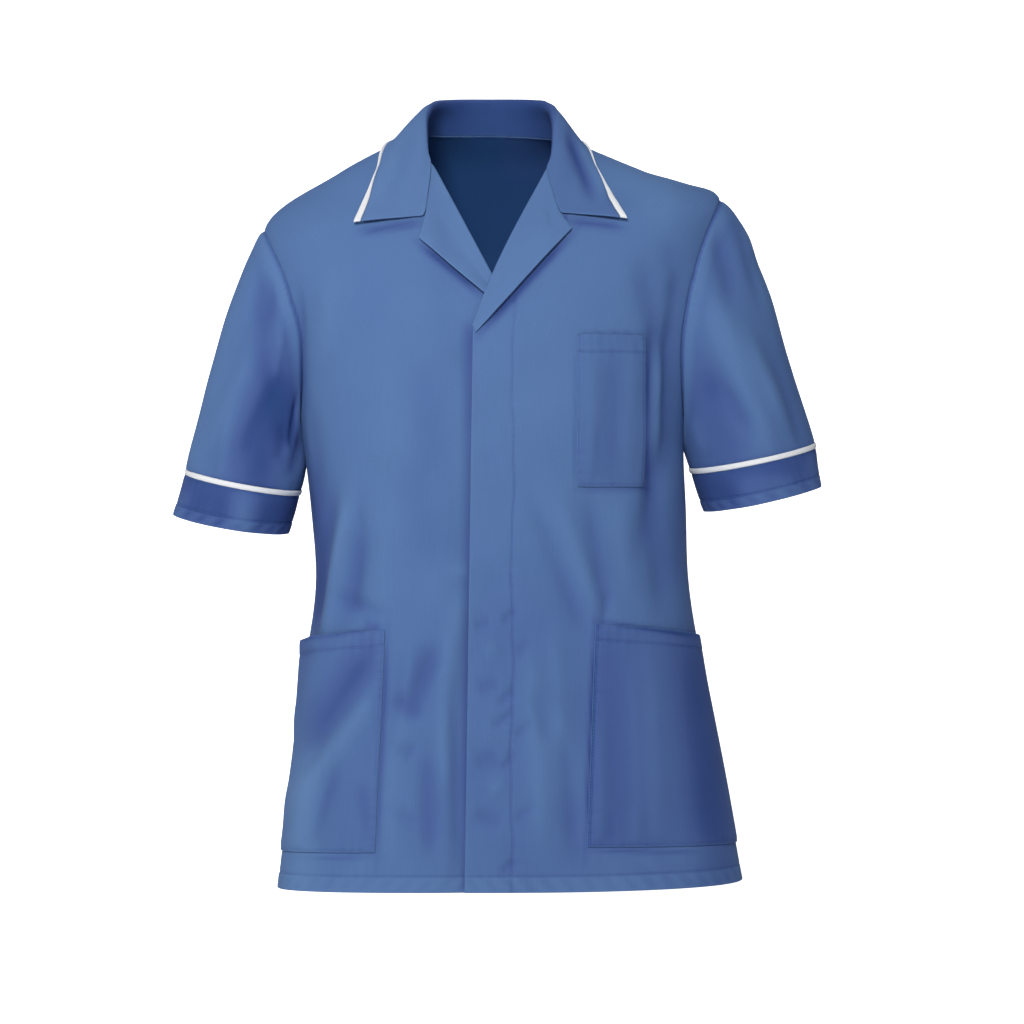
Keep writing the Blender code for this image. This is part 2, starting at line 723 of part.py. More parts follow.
def make_sleeve(side):
    """A sleeve: lines that leave the armhole and bend down to the ring at the top of the cuff."""
    start, start_normals = armhole_ring(side)
    start = start + np.array([SIDES[side] * SLEEVE_STAND_OFF, 0, 0])
    turn = np.linspace(0, 2 * np.pi, 2 * UPPER_ROWS + 1)[:-1]
    end = cuff_point(side, turn, 0.0)
    leave = sleeve_leaving(side)
    arrive = unit(np.array(SLEEVE_LEAN[side])) * CUFF_REACH
    t = np.linspace(0, 1, SLEEVE_ROWS + 1)[:, None, None]
    grid = (
        (1 + 2 * t) * (1 - t) ** 2 * start
        + t * (1 - t) ** 2 * leave
        + t * t * (3 - 2 * t) * end
        + t * t * (t - 1) * arrive
    )
    normals = ring_normals(grid)
    agree = smooth((normals[0] * start_normals).sum(-1) / 0.5)[:, None]
    normals[0] = unit(normals[0] * (1 - agree) + start_normals * agree)
    grid = grid + normals * sleeve_folds(turn[None], t[:, :, 0])[..., None]
    outer = pull_in(grid, SEAM_HALF_GAP, round_row=True)
    inner = pull_in(grid - normals * WALL, SEAM_HALF_GAP, round_row=True)
    name = "sleeve_" + side
    make_wall(name, outer, inner, cloth_material(name), round_row=True)


def make_cuff(side):
    """The cuff below the sleeve, with its piping between them."""
    turn = np.linspace(0, 2 * np.pi, 2 * UPPER_ROWS + 1)[:-1]
    rings = SLEEVE_RINGS[side] * MM
    height = np.linalg.norm(rings[1, :3] - rings[0, :3])
    split = CUFF_PIPING_HEIGHT / height
    for name, rows, low, high, wall, proud, material in (
        ("cuff_piping_", 1, 0.0, split, PIPING_WALL, PIPING_PROUD, piping_material),
        ("cuff_", CUFF_ROWS, split, 1.0, WALL, 0.0, cloth_material),
    ):
        down = np.linspace(low, high, rows + 1)[:, None]
        grid = cuff_point(side, turn[None], down)
        normals = ring_normals(grid)
        outer = pull_in(grid + normals * proud, SEAM_HALF_GAP, round_row=True)
        inner = outer - normals * wall
        make_wall(name + side, outer, inner, material(name + side), round_row=True)


def collar_half_neck(side):
    """(angle, level) round half the neck, from the gorge to the middle of the back, with each panel's points."""
    front = between(front_neck(side), NECK_ROWS)
    back = np.linspace(np.pi / 2, np.pi, BACK_NECK_COLUMNS // 2 + 1)[1:]
    back = np.stack([SIDES[side] * back, np.full(len(back), NECK_LEVEL)], axis=-1)
    return np.concatenate([front, back])


def collar_fall_net(side, neck, share, falls):
    """(angle, level) on the body below each point of the collar's fall: from the neck, round the gorge's bend
    near the front end, to the outer edge."""
    ahead = along_in_front([COLLAR_POINT[side], COLLAR_EDGE_TOP[side]], 3)
    behind = COLLAR_EDGE[side][:, 1:] * (SIDES[side] * np.pi / 180, 1.0)
    shares = np.r_[COLLAR_EDGE_SHARES, COLLAR_EDGE[side][:, 0]]
    edge = curve_through(shares, np.concatenate([ahead, behind]), share)
    corners = np.array([ROLL_TOP[side], GORGE_END[side], COLLAR_POINT[side]])
    fine = np.linspace(0, 1, 61)
    view = np.stack(
        [np.interp(fine, (0.0, GORGE_SHARE, 1.0), corners[:, k]) for k in (0, 1)]
    )
    end = np.stack(place_in_front(view[0], view[1]), axis=-1)
    bend = end - (end[0] + (end[-1] - end[0]) * fine[:, None])
    bends = np.stack([np.interp(falls, fine, bend[:, k]) for k in (0, 1)], axis=-1)
    fade = 1 - smooth(share / GORGE_FADE)
    straight = neck[:, None] + (edge - neck)[:, None] * falls[..., None]
    return straight + bends * fade[:, None, None]


def collar_half(side, end_width=0.0, falls=None):
    """Outer surface of half the collar, a row a station from the gorge to the middle of the back: up the inner
    face of the stand, over the roll and down the fall."""
    neck = collar_half_neck(side)
    base, normals = body_cloth(neck[:, 0], neck[:, 1])
    run = np.r_[0, np.cumsum(np.linalg.norm(np.diff(base, axis=0), axis=1))]
    share = run / run[-1]
    way = np.array([SIDES[side], 1.0, 1.0])
    first = (base[0] + normals[0] * COLLAR_START_HEIGHT) / MM
    start = COLLAR_START[side]
    shares = np.r_[start, COLLAR_ROLLS[:, 0]]
    crests = np.concatenate([[first], COLLAR_ROLLS[:, 1:] * way])
    crest = curve_through(shares, crests, start + (1 - start) * share) * MM
    out = unit(normals * (1, 1, 0))
    up = np.array([0.0, 0.0, 1.0])
    height = np.linalg.norm(crest - base, axis=1)[:, None]
    size = np.clip(height / (12 * MM), 0.45, 1.0) * MM
    rise = unit(np.cross(np.gradient(base, axis=0), normals))
    rise = rise * np.sign(rise[-1, 2])
    foot = base - normals * WALL + rise * NECK_GAP
    clear = rise * COLLAR_CLEAR * (1 - smooth(share / 0.25))[:, None]
    crest = crest + clear
    inside = crest - out * 3.6 * size - up * 5.0 * size
    shoulder = crest + out * 2.6 * size - up * 1.6 * size
    stand = [
        foot,
        (foot + inside + clear) * 0.5,
        inside,
        crest - out * 2.3 * size - up * 1.3 * size,
        crest,
        shoulder,
    ]
    edge_net = collar_fall_net(side, neck, share, np.ones((len(share), 1)))
    edge = body_cloth(edge_net[..., 0], edge_net[..., 1])[0][:, 0]
    length = np.linalg.norm(edge - base, axis=1)
    last = 1 - end_width / length
    if falls is None:
        falls = np.array(COLLAR_FALL_SHARES)[None] * np.ones((len(share), 1))
        falls = np.concatenate([falls, last[:, None]], axis=1)
    else:
        falls = last[:, None] + (1 - last[:, None]) * np.asarray(falls)[None]
    net = collar_fall_net(side, neck, share, falls)
    points, fall_normals = body_cloth(net[..., 0], net[..., 1])
    lift = COLLAR_LIFT + COLLAR_SHOULDER_LIFT * smooth(share / 0.4)[:, None, None]
    lying = points + fall_normals * lift
    landing = COLLAR_LANDING - 0.3 * (1 - smooth(share / 0.35))
    left = 1 - smooth(falls / landing[:, None])
    start = (shoulder - (base + normals * COLLAR_LIFT))[:, None]
    fall = lying + start * left[..., None]
    return np.stack(stand, axis=1), fall, foot + normals * WALL


def join_halves(right, left):
    """One run of stations from the right gorge round the back to the left gorge."""
    return np.concatenate([right, left[-2::-1]])


def grid_normals(grid):
    normals = np.cross(np.gradient(grid, axis=0), np.gradient(grid, axis=1))
    return unit(normals)


def make_collar():
    """The collar in one piece, and the piping along its outer edge."""
    halves = [collar_half(side, COLLAR_PIPING_WIDTH) for side in ("right", "left")]
    surface = join_halves(*[np.concatenate(half[:2], axis=1) for half in halves])
    normals = grid_normals(surface)
    middle = len(surface) // 2
    if normals[middle, -1, 1] < 0:
        normals = -normals
    under = surface - normals * WALL
    under[:, 0] = join_halves(halves[0][2], halves[1][2])
    outer = pull_in(surface, SEAM_HALF_GAP)
    inner = pull_in(under, SEAM_HALF_GAP)
    for face in (outer, inner):
        part_at_gorge(face, 0, 1, STAND_COLUMNS)
        part_at_gorge(face, -1, -2, STAND_COLUMNS)
    make_wall("collar", outer, inner, cloth_material("collar"))
    halves = [
        collar_half(side, COLLAR_PIPING_WIDTH, falls=(PIPING_SEAM_SHARE, 1.0))[1]
        for side in ("right", "left")
    ]
    strip = join_halves(*halves)
    normals = grid_normals(strip)
    if normals[middle, -1, 1] < 0:
        normals = -normals
    outer = pull_in(strip + normals * PIPING_PROUD, SEAM_HALF_GAP)
    inner = pull_in(strip + normals * (PIPING_PROUD - PIPING_WALL), SEAM_HALF_GAP)
    for face in (outer, inner):
        part_at_gorge(face, 0, 1, 0)
        part_at_gorge(face, -1, -2, 0)
    make_wall("collar_piping", outer, inner, piping_material("collar_piping"))


def whole_between(low, high):
    """Every whole number between two ends, kept clear of both."""
    return np.arange(np.floor(low + 0.2) + 1, np.ceil(high - 0.2))


def halve_rims(grid):
    """Adds a row or column halfway across each outermost band of a grid."""
    for _ in range(2):
        first, last = (grid[:1] + grid[1:2]) / 2, (grid[-2:-1] + grid[-1:]) / 2
        grid = np.concatenate([grid[:1], first, grid[1:-1], last, grid[-1:]]).T
    return grid


def pocket_grid(inner, outer, bottom, top):
    """Rows and columns of a pocket on its front: the front's own inside, and the pocket's four edges, each a
    run of (row, column), at its rim."""
    rows = whole_between(bottom[:, 0].max(), top[:, 0].min())
    columns = whole_between(inner[:, 1].max(), outer[:, 1].min())
    row = np.tile(np.r_[0.0, rows, 0.0][:, None], (1, len(columns) + 2))
    column = np.tile(np.r_[0.0, columns, 0.0][None], (len(rows) + 2, 1))
    row[0, 1:-1] = np.interp(columns, bottom[:, 1], bottom[:, 0])
    row[-1, 1:-1] = np.interp(columns, top[:, 1], top[:, 0])
    column[1:-1, 0] = np.interp(rows, inner[:, 0], inner[:, 1])
    column[1:-1, -1] = np.interp(rows, outer[:, 0], outer[:, 1])
    for i, edge in ((0, bottom), (-1, top)):
        for j in (0, -1):
            row[i, j], column[i, j] = edge[j]
    return halve_rims(row), halve_rims(column)


def make_pocket(name, side, edges, gape=0.0):
    """A patch pocket on a front's own facets, moved out, whose top stands off by its gape. Its edges are runs
    of (angle, level): inner and outer upwards, bottom and top from inner to outer."""
    edges = [np.stack(facet_index(side, *edge.T), axis=-1) for edge in edges]
    row, column = pocket_grid(*edges)
    base, away = on_front(side, row, column)
    across = (column - column[:, :1]) / (column[:, -1:] - column[:, :1])
    up = (row - row[:1]) / (row[-1:] - row[:1])
    bulge = smooth(across / 0.6) * smooth((1 - across) / 0.2)
    stand_off = gape * bulge * (0.25 * up + 0.75 * smooth((up - 0.3) / 0.7))
    outer = base + away * (LAYER_GAP + POCKET_WALL + stand_off)[..., None]
    inner = outer - away * POCKET_WALL
    make_wall(name, outer, inner, cloth_material(name), even_split=True)


def straight(start, end):
    """Points along a straight line between two pairs of values."""
    share = np.linspace(0, 1, 25)[:, None]
    return np.asarray(start) * (1 - share) + np.asarray(end) * share


def make_chest_pocket():
    x0, x1 = CHEST_POCKET_X
    z0, z1 = CHEST_POCKET_Z
    lines = [
        straight((x0, z0), (x0, z1)),
        straight((x1, z0), (x1, z1)),
        straight((x0, z0), (x1, z0)),
        straight((x0, z1), (x1, z1)),
    ]
    edges = [np.stack(place_in_front(line[:, 0], line[:, 1]), axis=-1) for line in lines]
    make_pocket("chest_pocket", "left", edges)


def make_hip_pocket(side):
    """A hip pocket from its inner edge to the side seam, whose top stands off the body."""
    top_x, top_z, bottom_x, bottom_z, side_top_z, side_bottom_z, gape = HIP_POCKETS[side]
    heights = RINGS[:6, RING_COLUMNS.index(side + "_z")]
    side_levels = np.interp((side_bottom_z, side_top_z), heights, RINGS[:6, 0])
    side_angle = SIDES[side] * np.radians(POCKET_SIDE_DEGREES)
    line = straight((bottom_x, bottom_z), (top_x, top_z))
    inner = np.stack(place_in_front(line[:, 0], line[:, 1]), axis=-1)
    outer = straight((side_angle, side_levels[0]), (side_angle, side_levels[1]))
    bottom, top = straight(inner[0], outer[0]), straight(inner[-1], outer[-1])
    make_pocket("hip_pocket_" + side, side, [inner, outer, bottom, top], gape * MM)


def main():
    clear_scene()
    make_panel("back", back_net())
    for side in SIDES:
        make_panel("front_" + side, front_net(side), side)
        make_lapel(side)
        make_sleeve(side)
        make_cuff(side)
        make_hip_pocket(side)
    make_chest_pocket()
    make_collar()


main()
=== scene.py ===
import bpy
import numpy as np
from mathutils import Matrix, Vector


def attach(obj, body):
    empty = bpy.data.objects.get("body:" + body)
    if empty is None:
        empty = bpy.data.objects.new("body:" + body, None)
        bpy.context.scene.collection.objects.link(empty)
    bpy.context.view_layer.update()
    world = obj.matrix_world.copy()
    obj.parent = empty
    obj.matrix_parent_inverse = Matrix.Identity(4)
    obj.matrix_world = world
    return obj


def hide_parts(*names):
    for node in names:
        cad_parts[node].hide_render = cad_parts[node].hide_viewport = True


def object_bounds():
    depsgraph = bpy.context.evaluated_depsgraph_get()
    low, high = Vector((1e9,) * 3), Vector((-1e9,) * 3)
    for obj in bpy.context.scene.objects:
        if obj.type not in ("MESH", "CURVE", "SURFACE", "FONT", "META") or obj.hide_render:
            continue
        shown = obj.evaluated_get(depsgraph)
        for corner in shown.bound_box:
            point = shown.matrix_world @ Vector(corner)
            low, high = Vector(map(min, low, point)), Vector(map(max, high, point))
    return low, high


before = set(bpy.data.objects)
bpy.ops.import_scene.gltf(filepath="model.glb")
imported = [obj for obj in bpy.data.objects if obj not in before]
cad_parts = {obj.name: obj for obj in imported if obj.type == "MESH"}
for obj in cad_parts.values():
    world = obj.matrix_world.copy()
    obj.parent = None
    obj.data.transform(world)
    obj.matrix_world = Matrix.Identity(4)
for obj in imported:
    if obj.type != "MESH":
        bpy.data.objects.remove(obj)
CAD_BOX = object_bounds()

# Work tunic, worn shape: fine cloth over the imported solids, with seams, stitches, finishes and stage.
# Frame: metres, +Z up, the front towards -Y. Left, towards +X, and right are the wearer's.
# Tables are in millimetres. The tables of the form repeat those of the part's source.

bl_info = {
    "name": "Work Tunic",
    "version": (1, 0, 0),
    "blender": (4, 5, 0),
    "location": "View3D > Sidebar > Tunic",
    "description": "Short-sleeved work tunic in blue twill with white piping",
    "category": "Add Mesh",
}

MM = 0.001
SIDES = {"right": -1.0, "left": 1.0}

# Worn form, one row a ring: level, z in front, right, left and behind, widths, depths, squareness
RINGS = np.array(
    [
        (0, -731, -736, -728, -736, -212, 252, -128, 124, 2.35),
        (115, -618, -620, -616, -620, -198, 232, -125, 121, 2.35),
        (211, -522, -523, -521, -523, -186, 213, -121, 114, 2.35),
        (307, -426, -426, -426, -426, -174, 198, -118, 108, 2.35),
        (367, -366, -366, -366, -366, -178, 196, -121, 109, 2.35),
        (448, -285, -285, -285, -285, -188, 194, -124, 114, 2.3),
        (533, -200, -198, -194, -196, -204, 207, -121, 116, 2.2),
        (598, -146, -134, -112, -130, -221, 225, -113, 112, 2.1),
        (650, -110, -81, -50, -76, -226, 232, -99, 100, 2.0),
        (735, -76, -23, -21, -14, -151, 154, -80, 82, 2.0),
        (815, -58, 17, 11, 20, -76, 77, -64, 62, 2.0),
    ]
)
ARMPIT_LEVEL = 448.0
TIP_LEVEL = 650.0
NECK_LEVEL = 815.0
SWAY_POWER = 1.7
ARMHOLE_DEGREES = {"front": 27.0, "back": 25.0}
ARMHOLE_TOP_SHARE = 0.25

# Centre front in front view (x, z)
EDGE_X = {"right": (19.0, 18.5), "left": (-24.0, -16.0)}
BREAK = {"right": (18.5, -160.0), "left": (-16.0, -182.0)}
V_BOTTOM = (3.5, -132.0)
ROLL_TOP = {"right": (-58.0, -17.0), "left": (57.0, -24.0)}
LAPEL_CORNER = {"right": (-68.8, -95.5), "left": (80.6, -85.7)}
LAPEL_FOOT = {"right": (16.0, -166.0), "left": (-13.0, -188.0)}
GORGE_END = {"right": (-63.0, -72.0), "left": (69.0, -69.5)}
COLLAR_POINT = {"right": (-132.5, -81.0), "left": (134.6, -77.2)}
UNDER_SINK = 2.4
UNDER_LAPEL_SINK = 2.7
UNDER_DIP = 3.4
# Smooth steps, each by where it starts and its length, which is negative where it steps down
UNDER_SINK_X = (-70.0, 46.0)
UNDER_LAPEL_FOOT = (-225.0, 40.0)
UNDER_LAPEL_TOP = (-60.0, -80.0)
UNDER_DIP_X = (-46.0, 26.0)
UNDER_DIP_TOP = (-186.0, -30.0)
# The cloth's dip beside the shoulder tips: its x, half width, depth, and where it fades upwards and away
SHOULDER_DIP_X = 206.0
SHOULDER_DIP_WIDTH = 26.0
SHOULDER_DIP_DEPTH = 4.5
SHOULDER_DIP_FOOT = (-130.0, 60.0)
SHOULDER_DIP_Y = (110.0, -110.0)

# How finely the solids' rows and columns are divided here
FINE = 6
CHEST_ROWS = 4 * FINE
LAPEL_ROWS = 6 * FINE
NECK_ROWS = 4 * FINE
UPPER_ROWS = CHEST_ROWS + LAPEL_ROWS + NECK_ROWS
BACK_SHOULDER_COLUMNS = 6 * FINE
BACK_NECK_COLUMNS = 16 * FINE
CLOTH_STEP = 3.4
PLACKET_STEP = 2.4
FRONT_STEP = 2.9
FRONT_WIDTH = 200.0
POCKET_STEP = 2.6
CHEST_STEPS = (2.0, 2.2)
LAPEL_COLUMNS = 30
PATH_POINTS = 241
HALVINGS = 40
NEWTON_STEPS = 25
LONGEST_TURN = 0.2
LONGEST_RISE = 40.0
WIDEST_ANGLE = 1.56

# Making details
HEM_STITCH = 16.0
PLACKET_STITCH_X = (24.0, 21.0)
PLACKET_STITCH_Z = (-146.0, -731.0)
PLACKET_STITCH_FADE = 12.0
PLACKET_STITCH_DEPTH = 0.45
PLACKET_STITCH_PLACE = 43.0
PLACKET_REACH = 52.0
PLACKET_ROWS_ABOVE = 6
PLACKET_COLUMN = 40
PLACKET_COLUMNS = 90
CUFF_STITCH = 12.0
CHEST_BAND = 17.0
HIP_BAND = 15.0
POCKET_STITCH = 2.0
POCKET_STITCH_DEPTH = 0.3
POCKET_STITCH_WIDTH = 1.1
POCKET_LIFT = 0.55
POCKET_LEAST_LIFT = 0.15
NARROWEST_CUT = 10.1
STITCH_PITCH = 3.1
STITCH_LENGTH = 2.4
STITCH_RADIUS = 0.2
BODY_SEAM = {"depth": 0.6, "width": 2.6, "height": 0.18}
ARMHOLE_SEAM = {"depth": 0.5, "width": 2.6, "height": 0.18}
CUFF_SEAM = {"depth": 0.4, "width": 2.6, "height": 0.12}
NECK_SEAM = {"depth": 0.3, "width": 1.6, "height": 0.08}
SEAM_REACH = 9.0
STITCH_DEPTH = 0.35
STITCH_GROOVE = 1.3
STITCH_REACH = 6.0
STITCH_PUCKER = 0.16
HEM_THICKER = 0.3
HEM_DRAWN = 0.22
POCKET_REACH = 7.0
POCKET_PUCKER = 0.2
# How much the relief of stitches and folds darkens troughs and lightens ridges in the colour: painted shade
# and light
STITCH_SHADING = 3.0
FOLD_SHADING = 0.42
# Painted shade inside the collar's stand
STAND_SHADE = -4.9
# Painted shade on the inside of the cloth, a deeper painted shadow in the neck, and less so by the neck seam
# on the left
INNER_SHADE = -2.4
NECK_SHADOW = -5.0
NECK_FOOT = (-230.0, 60.0)
NECK_LIGHT = 0.35
NECK_LIGHT_FOOT = (-75.0, 70.0)
NECK_LIGHT_X = (-30.0, 60.0)
# Painted shadow on the right front where the left one lies over it
UNDER_EDGE_SHADOW = -2.6
UNDER_EDGE_X = (-32.0, 13.0)
UNDER_EDGE_TOP = (-170.0, -20.0)
# Painted light on each lapel
LAPEL_LIGHTS = {"right": 2.0, "left": 1.4}
# Painted light on the collar's right half and painted shade on its left
COLLAR_LIGHT_SHADE = {"right": 1.9, "left": -0.8}
RIM_ROUND = 0.4
SHARP_DEGREES = 70.0
RIM_STEPS = (45.0, 90.0, 135.0)

# Folds and creases of the body in front and back view: both ends, half width, height
FRONT_FOLDS = (
    (-140, -352, -164, -486, 13, 4.0),
    (-120, -380, -150, -470, 14, -3.0),
    (52, -352, 98, -455, 17, 1.6),
    (78, -352, 120, -440, 18, -1.4),
    (-60, -500, -88, -560, 18, -2.5),
    (62, -560, 76, -640, 16, 2.5),
    (168, -300, 150, -400, 12, -3.0),
    (150, -120, 170, -210, 13, -3.0),
    (-152, -130, -168, -210, 12, 2.5),
)
FRONT_CREASES = (
    (-140, -366, -162, -486, 6, 3.4),
    (-154, -350, -174, -484, 9, -5.0),
    (-128, -345, -134, -450, 8, -2.8),
    (-104, -370, -112, -486, 14, 1.6),
    (-87, -321, -48, -409, 20, -1.8),
    (-36, -421, -19, -419, 8, 1.6),
    (-53, -493, -77, -555, 10, -3.0),
    (-91, -544, -70, -560, 8, -2.6),
    (-148, -446, -104, -462, 8, -3.0),
    (-88, -590, -74, -598, 8, -2.6),
    (-100, -650, -72, -664, 7, -1.8),
    (-60, -600, -58, -690, 9, -3.6),
    (-76, -500, -86, -600, 6, 2.0),
    (-44, -545, -42, -625, 8, 2.8),
    (-34, -560, -31, -700, 6, -2.0),
    (-28, -450, -46, -540, 10, 3.0),
    (-92, -600, -95, -690, 7, 2.2),
    (-13, -473, 0, -470, 7, -1.8),
    (-4, -497, 8, -494, 7, 1.7),
    (13, -468, 25, -459, 4, -1.9),
    (-10, -534, 8, -529, 8, -1.9),
    (11, -547, 25, -534, 4.5, -2.0),
    (5, -569, 24, -556, 4.5, -2.0),
    (-12, -604, 8, -600, 9, -2.1),
    (12, -611, 25, -598, 4.5, -2.0),
    (0, -632, 15, -625, 7, 2.0),
    (-13, -655, 10, -663, 9, -2.1),
    (14, -711, 25, -699, 5, -1.9),
    (28, -500, 38, -488, 5, -1.4),
    (27, -580, 40, -566, 5, -1.5),
    (27, -660, 44, -646, 6, -1.5),
    (-6, -312, 8, -306, 9, -0.9),
    (41, -507, 51, -674, 11, 3.2),
    (45, -535, 56, -583, 7, -2.2),
    (72, -590, 84, -690, 9, -3.0),
    (64, -480, 70, -580, 9, 1.8),
    (47, -360, 88, -466, 10, -3.0),
    (70, -350, 104, -450, 8, 2.2),
    (116, -440, 110, -473, 4.5, -2.4),
    (98, -350, 112, -450, 8, -2.4),
    (128, -355, 134, -440, 10, 1.6),
    (160, -320, 170, -455, 12, -4.0),
    (175, -96, 192, -150, 12, -1.4),
    (184, -132, 178, -196, 8, -2.6),
    (174, -186, 178, -310, 12, -4.6),
    (160, -188, 157, -262, 7, -1.2),
    (167, -200, 166, -300, 5, 2.2),
    (172, -170, 168, -250, 6, 1.4),
    (-188, -150, -185, -262, 6, -3.2),
    (-176, -262, -168, -350, 9, -1.6),
    (-60, -220, -52, -330, 20, -1.5),
    (-100, -200, -92, -330, 16, 1.4),
    (-26, -230, -22, -360, 12, 1.2),
    (60, -236, 52, -300, 18, 0.8),
    (-120, -700, -150, -735, 8, 1.2),
    (150, -700, 170, -712, 5, 1.2),
)
BACK_FOLDS = (
    (-150, -300, -120, -430, 16, 4.0),
    (145, -310, 112, -440, 15, 4.5),
    (-95, -340, -70, -450, 17, -3.0),
    (90, -330, 60, -455, 16, -3.0),
    (-40, -560, -48, -690, 20, 3.0),
    (66, -540, 80, -690, 20, 3.0),
    (0, -120, -30, -230, 20, -2.5),
)
BACK_CREASES = (
    (-160, -300, -138, -420, 8, 3.4),
    (-130, -160, -50, -240, 12, -3.6),
    (124, -150, 54, -236, 12, -3.8),
    (-30, -330, -22, -470, 13, -3.6),
    (34, -350, 40, -520, 12, 3.6),
    (-110, -500, -122, -670, 11, -4.2),
    (116, -490, 132, -660, 12, -4.2),
    (-70, -590, -76, -720, 12, 3.2),
    (20, -590, 16, -724, 13, -3.6),
    (0, -40, -4, -110, 22, 1.8),
    (-84, -64, -120, -130, 16, 2.0),
    (92, -66, 126, -128, 16, 2.0),
    (150, -250, 168, -340, 10, -2.4),
    (-164, -240, -172, -330, 9, -2.4),
    (-176, -420, -186, -560, 12, -2.0),
    (170, -400, 184, -540, 12, 2.0),
)
# Painted shade (negative) and painted light on the cloth in front view, laid out as the folds are:
# painted shadow under the edges that lie over it and along the pockets' sewn edges, and painted shade and
# light where it hangs in or out of the light
FRONT_SHADES = (
    (-126, -87, -70, -79, 4.5, -3.4),
    (129, -83, 78, -76, 4.5, -3.4),
    (76, -75, 68, -75, 3.5, -5.0),
    (-66, -102, -10, -148, 4.5, -4.4),
    (76, -95, -4, -183, 4.5, -4.6),
    (154, -196, 155, -330, 6, -1.3),
    (88, -341, 150, -340, 2.4, -2.0),
    (155, -196, 154, -332, 2.4, -2.4),
    (83, -196, 83, -332, 2.0, -1.6),
    (92, -187, 146, -187, 2.0, -1.6),
    (102, -480, 94, -680, 2.6, -3.0),
    (112, -469, 196, -484, 2.6, -3.0),
    (104, -690, 200, -695, 2.4, -2.2),
    (-99, -484, -108, -684, 2.6, -2.6),
    (-110, -475, -190, -492, 2.6, -2.4),
    (-116, -697, -196, -703, 2.4, -1.8),
    (-178, -330, -176, -480, 20, -3.6),
    (207, -440, 240, -860, 26, -2.4),
    (140, -712, 215, -735, 26, -1.0),
    (62, -150, 70, -290, 40, 0.8),
    (-178, -590, -190, -745, 17, 4.0),
    (112, -16, 190, -60, 28, 3.0),
    (-120, -30, -190, -90, 26, 0.8),
    (190, -330, 184, -430, 16, -1.6),
    (-122, -470, -106, -474, 5, -2.0),
    (-60, -440, -60, -760, 90, -0.5),
    (60, -420, 70, -760, 90, -1.3),
)
SIDE_FADE = 35.0
SHADE_REACH = 75.0
LINE_FADE = 0.25
# Slow unevenness of hanging cloth: waves a metre across and up, phase and height
RIPPLES = (
    (38.0, 21.0, 0.4, 0.22),
    (-27.0, 46.0, 1.9, 0.20),
    (61.0, -17.0, 2.7, 0.16),
    (84.0, 33.0, 0.9, 0.12),
    (-52.0, 71.0, 4.1, 0.11),
    (19.0, 93.0, 5.3, 0.09),
)
BACK_RIPPLE_SHIFT = 90.0

# Rings at the top of the cuff and at its hem: x, y, z, half width in x and z, depth, drop in front
SLEEVE_RINGS = {
    "right": np.array([(-246, 2, -329, 57.5, -11, 61, -5), (-260, 4, -373, 57.5, -10, 62, -6)]),
    "left": np.array([(262, 2, -305, -63, -13, 62, -5), (273.5, 4, -348, -58.5, -13, 62, -5)]),
}
SLEEVE_LEAN = {"right": (-0.29, 0.03, -0.95), "left": (0.30, 0.03, -0.95)}
SLEEVE_TUCK = 1.6
SLEEVE_SINK = 0.9
SLEEVE_STEPS = 64
CUFF_PIPING_HEIGHT = 5.5
TOP_REACH = {"right": 96.0, "left": 118.0}
SIDE_REACH = 78.0
BOTTOM_REACH = 30.0
CUFF_REACH = 95.0
SLEEVE_TURNS = np.linspace(0, 2 * np.pi, 2 * UPPER_ROWS + 1)[:-1]
SLEEVE_FADE = 0.35
# The welt of the seam allowances under the sleeve's top, and the seam under the arm
SLEEVE_WELT = 0.7
SLEEVE_WELT_END = (22.0, -16.0)
UNDERARM_DEPTH = 0.4
UNDERARM_WIDTH = 2.2
CUFF_STEP = 2.4
# Slow waves of the cuff: height, how many round it, phase, and how far down they fade in
CUFF_WAVES = ((0.8, 5, 1.0, 20.0), (0.5, 9, 2.1, 30.0))
# Place round the sleeve from the underarm forwards and down it, at both ends, half width, height
SLEEVE_FOLDS = (
    (0.20, 0.20, 0.30, 0.95, 0.030, -2.5),
    (0.30, 0.15, 0.38, 0.90, 0.030, 3.0),
    (0.72, 0.20, 0.66, 0.90, 0.035, 3.0),
    (0.82, 0.25, 0.78, 0.95, 0.030, -2.5),
)
SLEEVE_CREASES = {
    "right": (
        (0.45, 0.00, 0.43, 1.25, 0.055, 3.6),
        (0.36, 0.08, 0.30, 0.50, 0.035, -4.6),
        (0.40, 0.14, 0.35, 0.36, 0.020, -2.4),
        (0.29, 0.12, 0.24, 0.42, 0.020, 1.8),
        (0.23, 0.20, 0.16, 1.25, 0.065, -2.6),
        (0.16, 0.40, 0.15, 0.80, 0.026, -2.4),
        (0.15, 0.06, 0.12, 0.62, 0.016, -3.6),
        (0.08, 0.20, 0.10, 0.92, 0.030, -3.6),
        (0.34, 0.55, 0.30, 1.05, 0.018, 1.8),
        (0.60, 0.10, 0.70, 0.60, 0.028, -2.4),
        (0.86, 0.16, 0.90, 0.80, 0.028, 2.4),
    ),
    "left": (
        (0.50, 0.00, 0.50, 0.34, 0.080, 3.0),
        (0.50, 0.05, 0.49, 0.62, 0.090, 3.4),
        (0.46, 0.10, 0.41, 0.50, 0.020, -1.6),
        (0.40, 0.02, 0.36, 0.36, 0.026, -3.4),
        (0.30, 0.04, 0.29, 1.12, 0.034, 4.4),
        (0.35, 0.30, 0.36, 1.05, 0.024, 1.8),
        (0.39, 0.44, 0.39, 1.05, 0.030, -2.0),
        (0.215, 0.06, 0.20, 1.20, 0.034, -1.4),
        (0.25, 0.44, 0.26, 0.84, 0.014, -1.2),
        (0.13, 0.24, 0.12, 0.90, 0.026, 1.6),
        (0.62, 0.12, 0.70, 0.62, 0.028, -2.4),
        (0.88, 0.14, 0.91, 0.82, 0.028, 2.2),
    ),
}

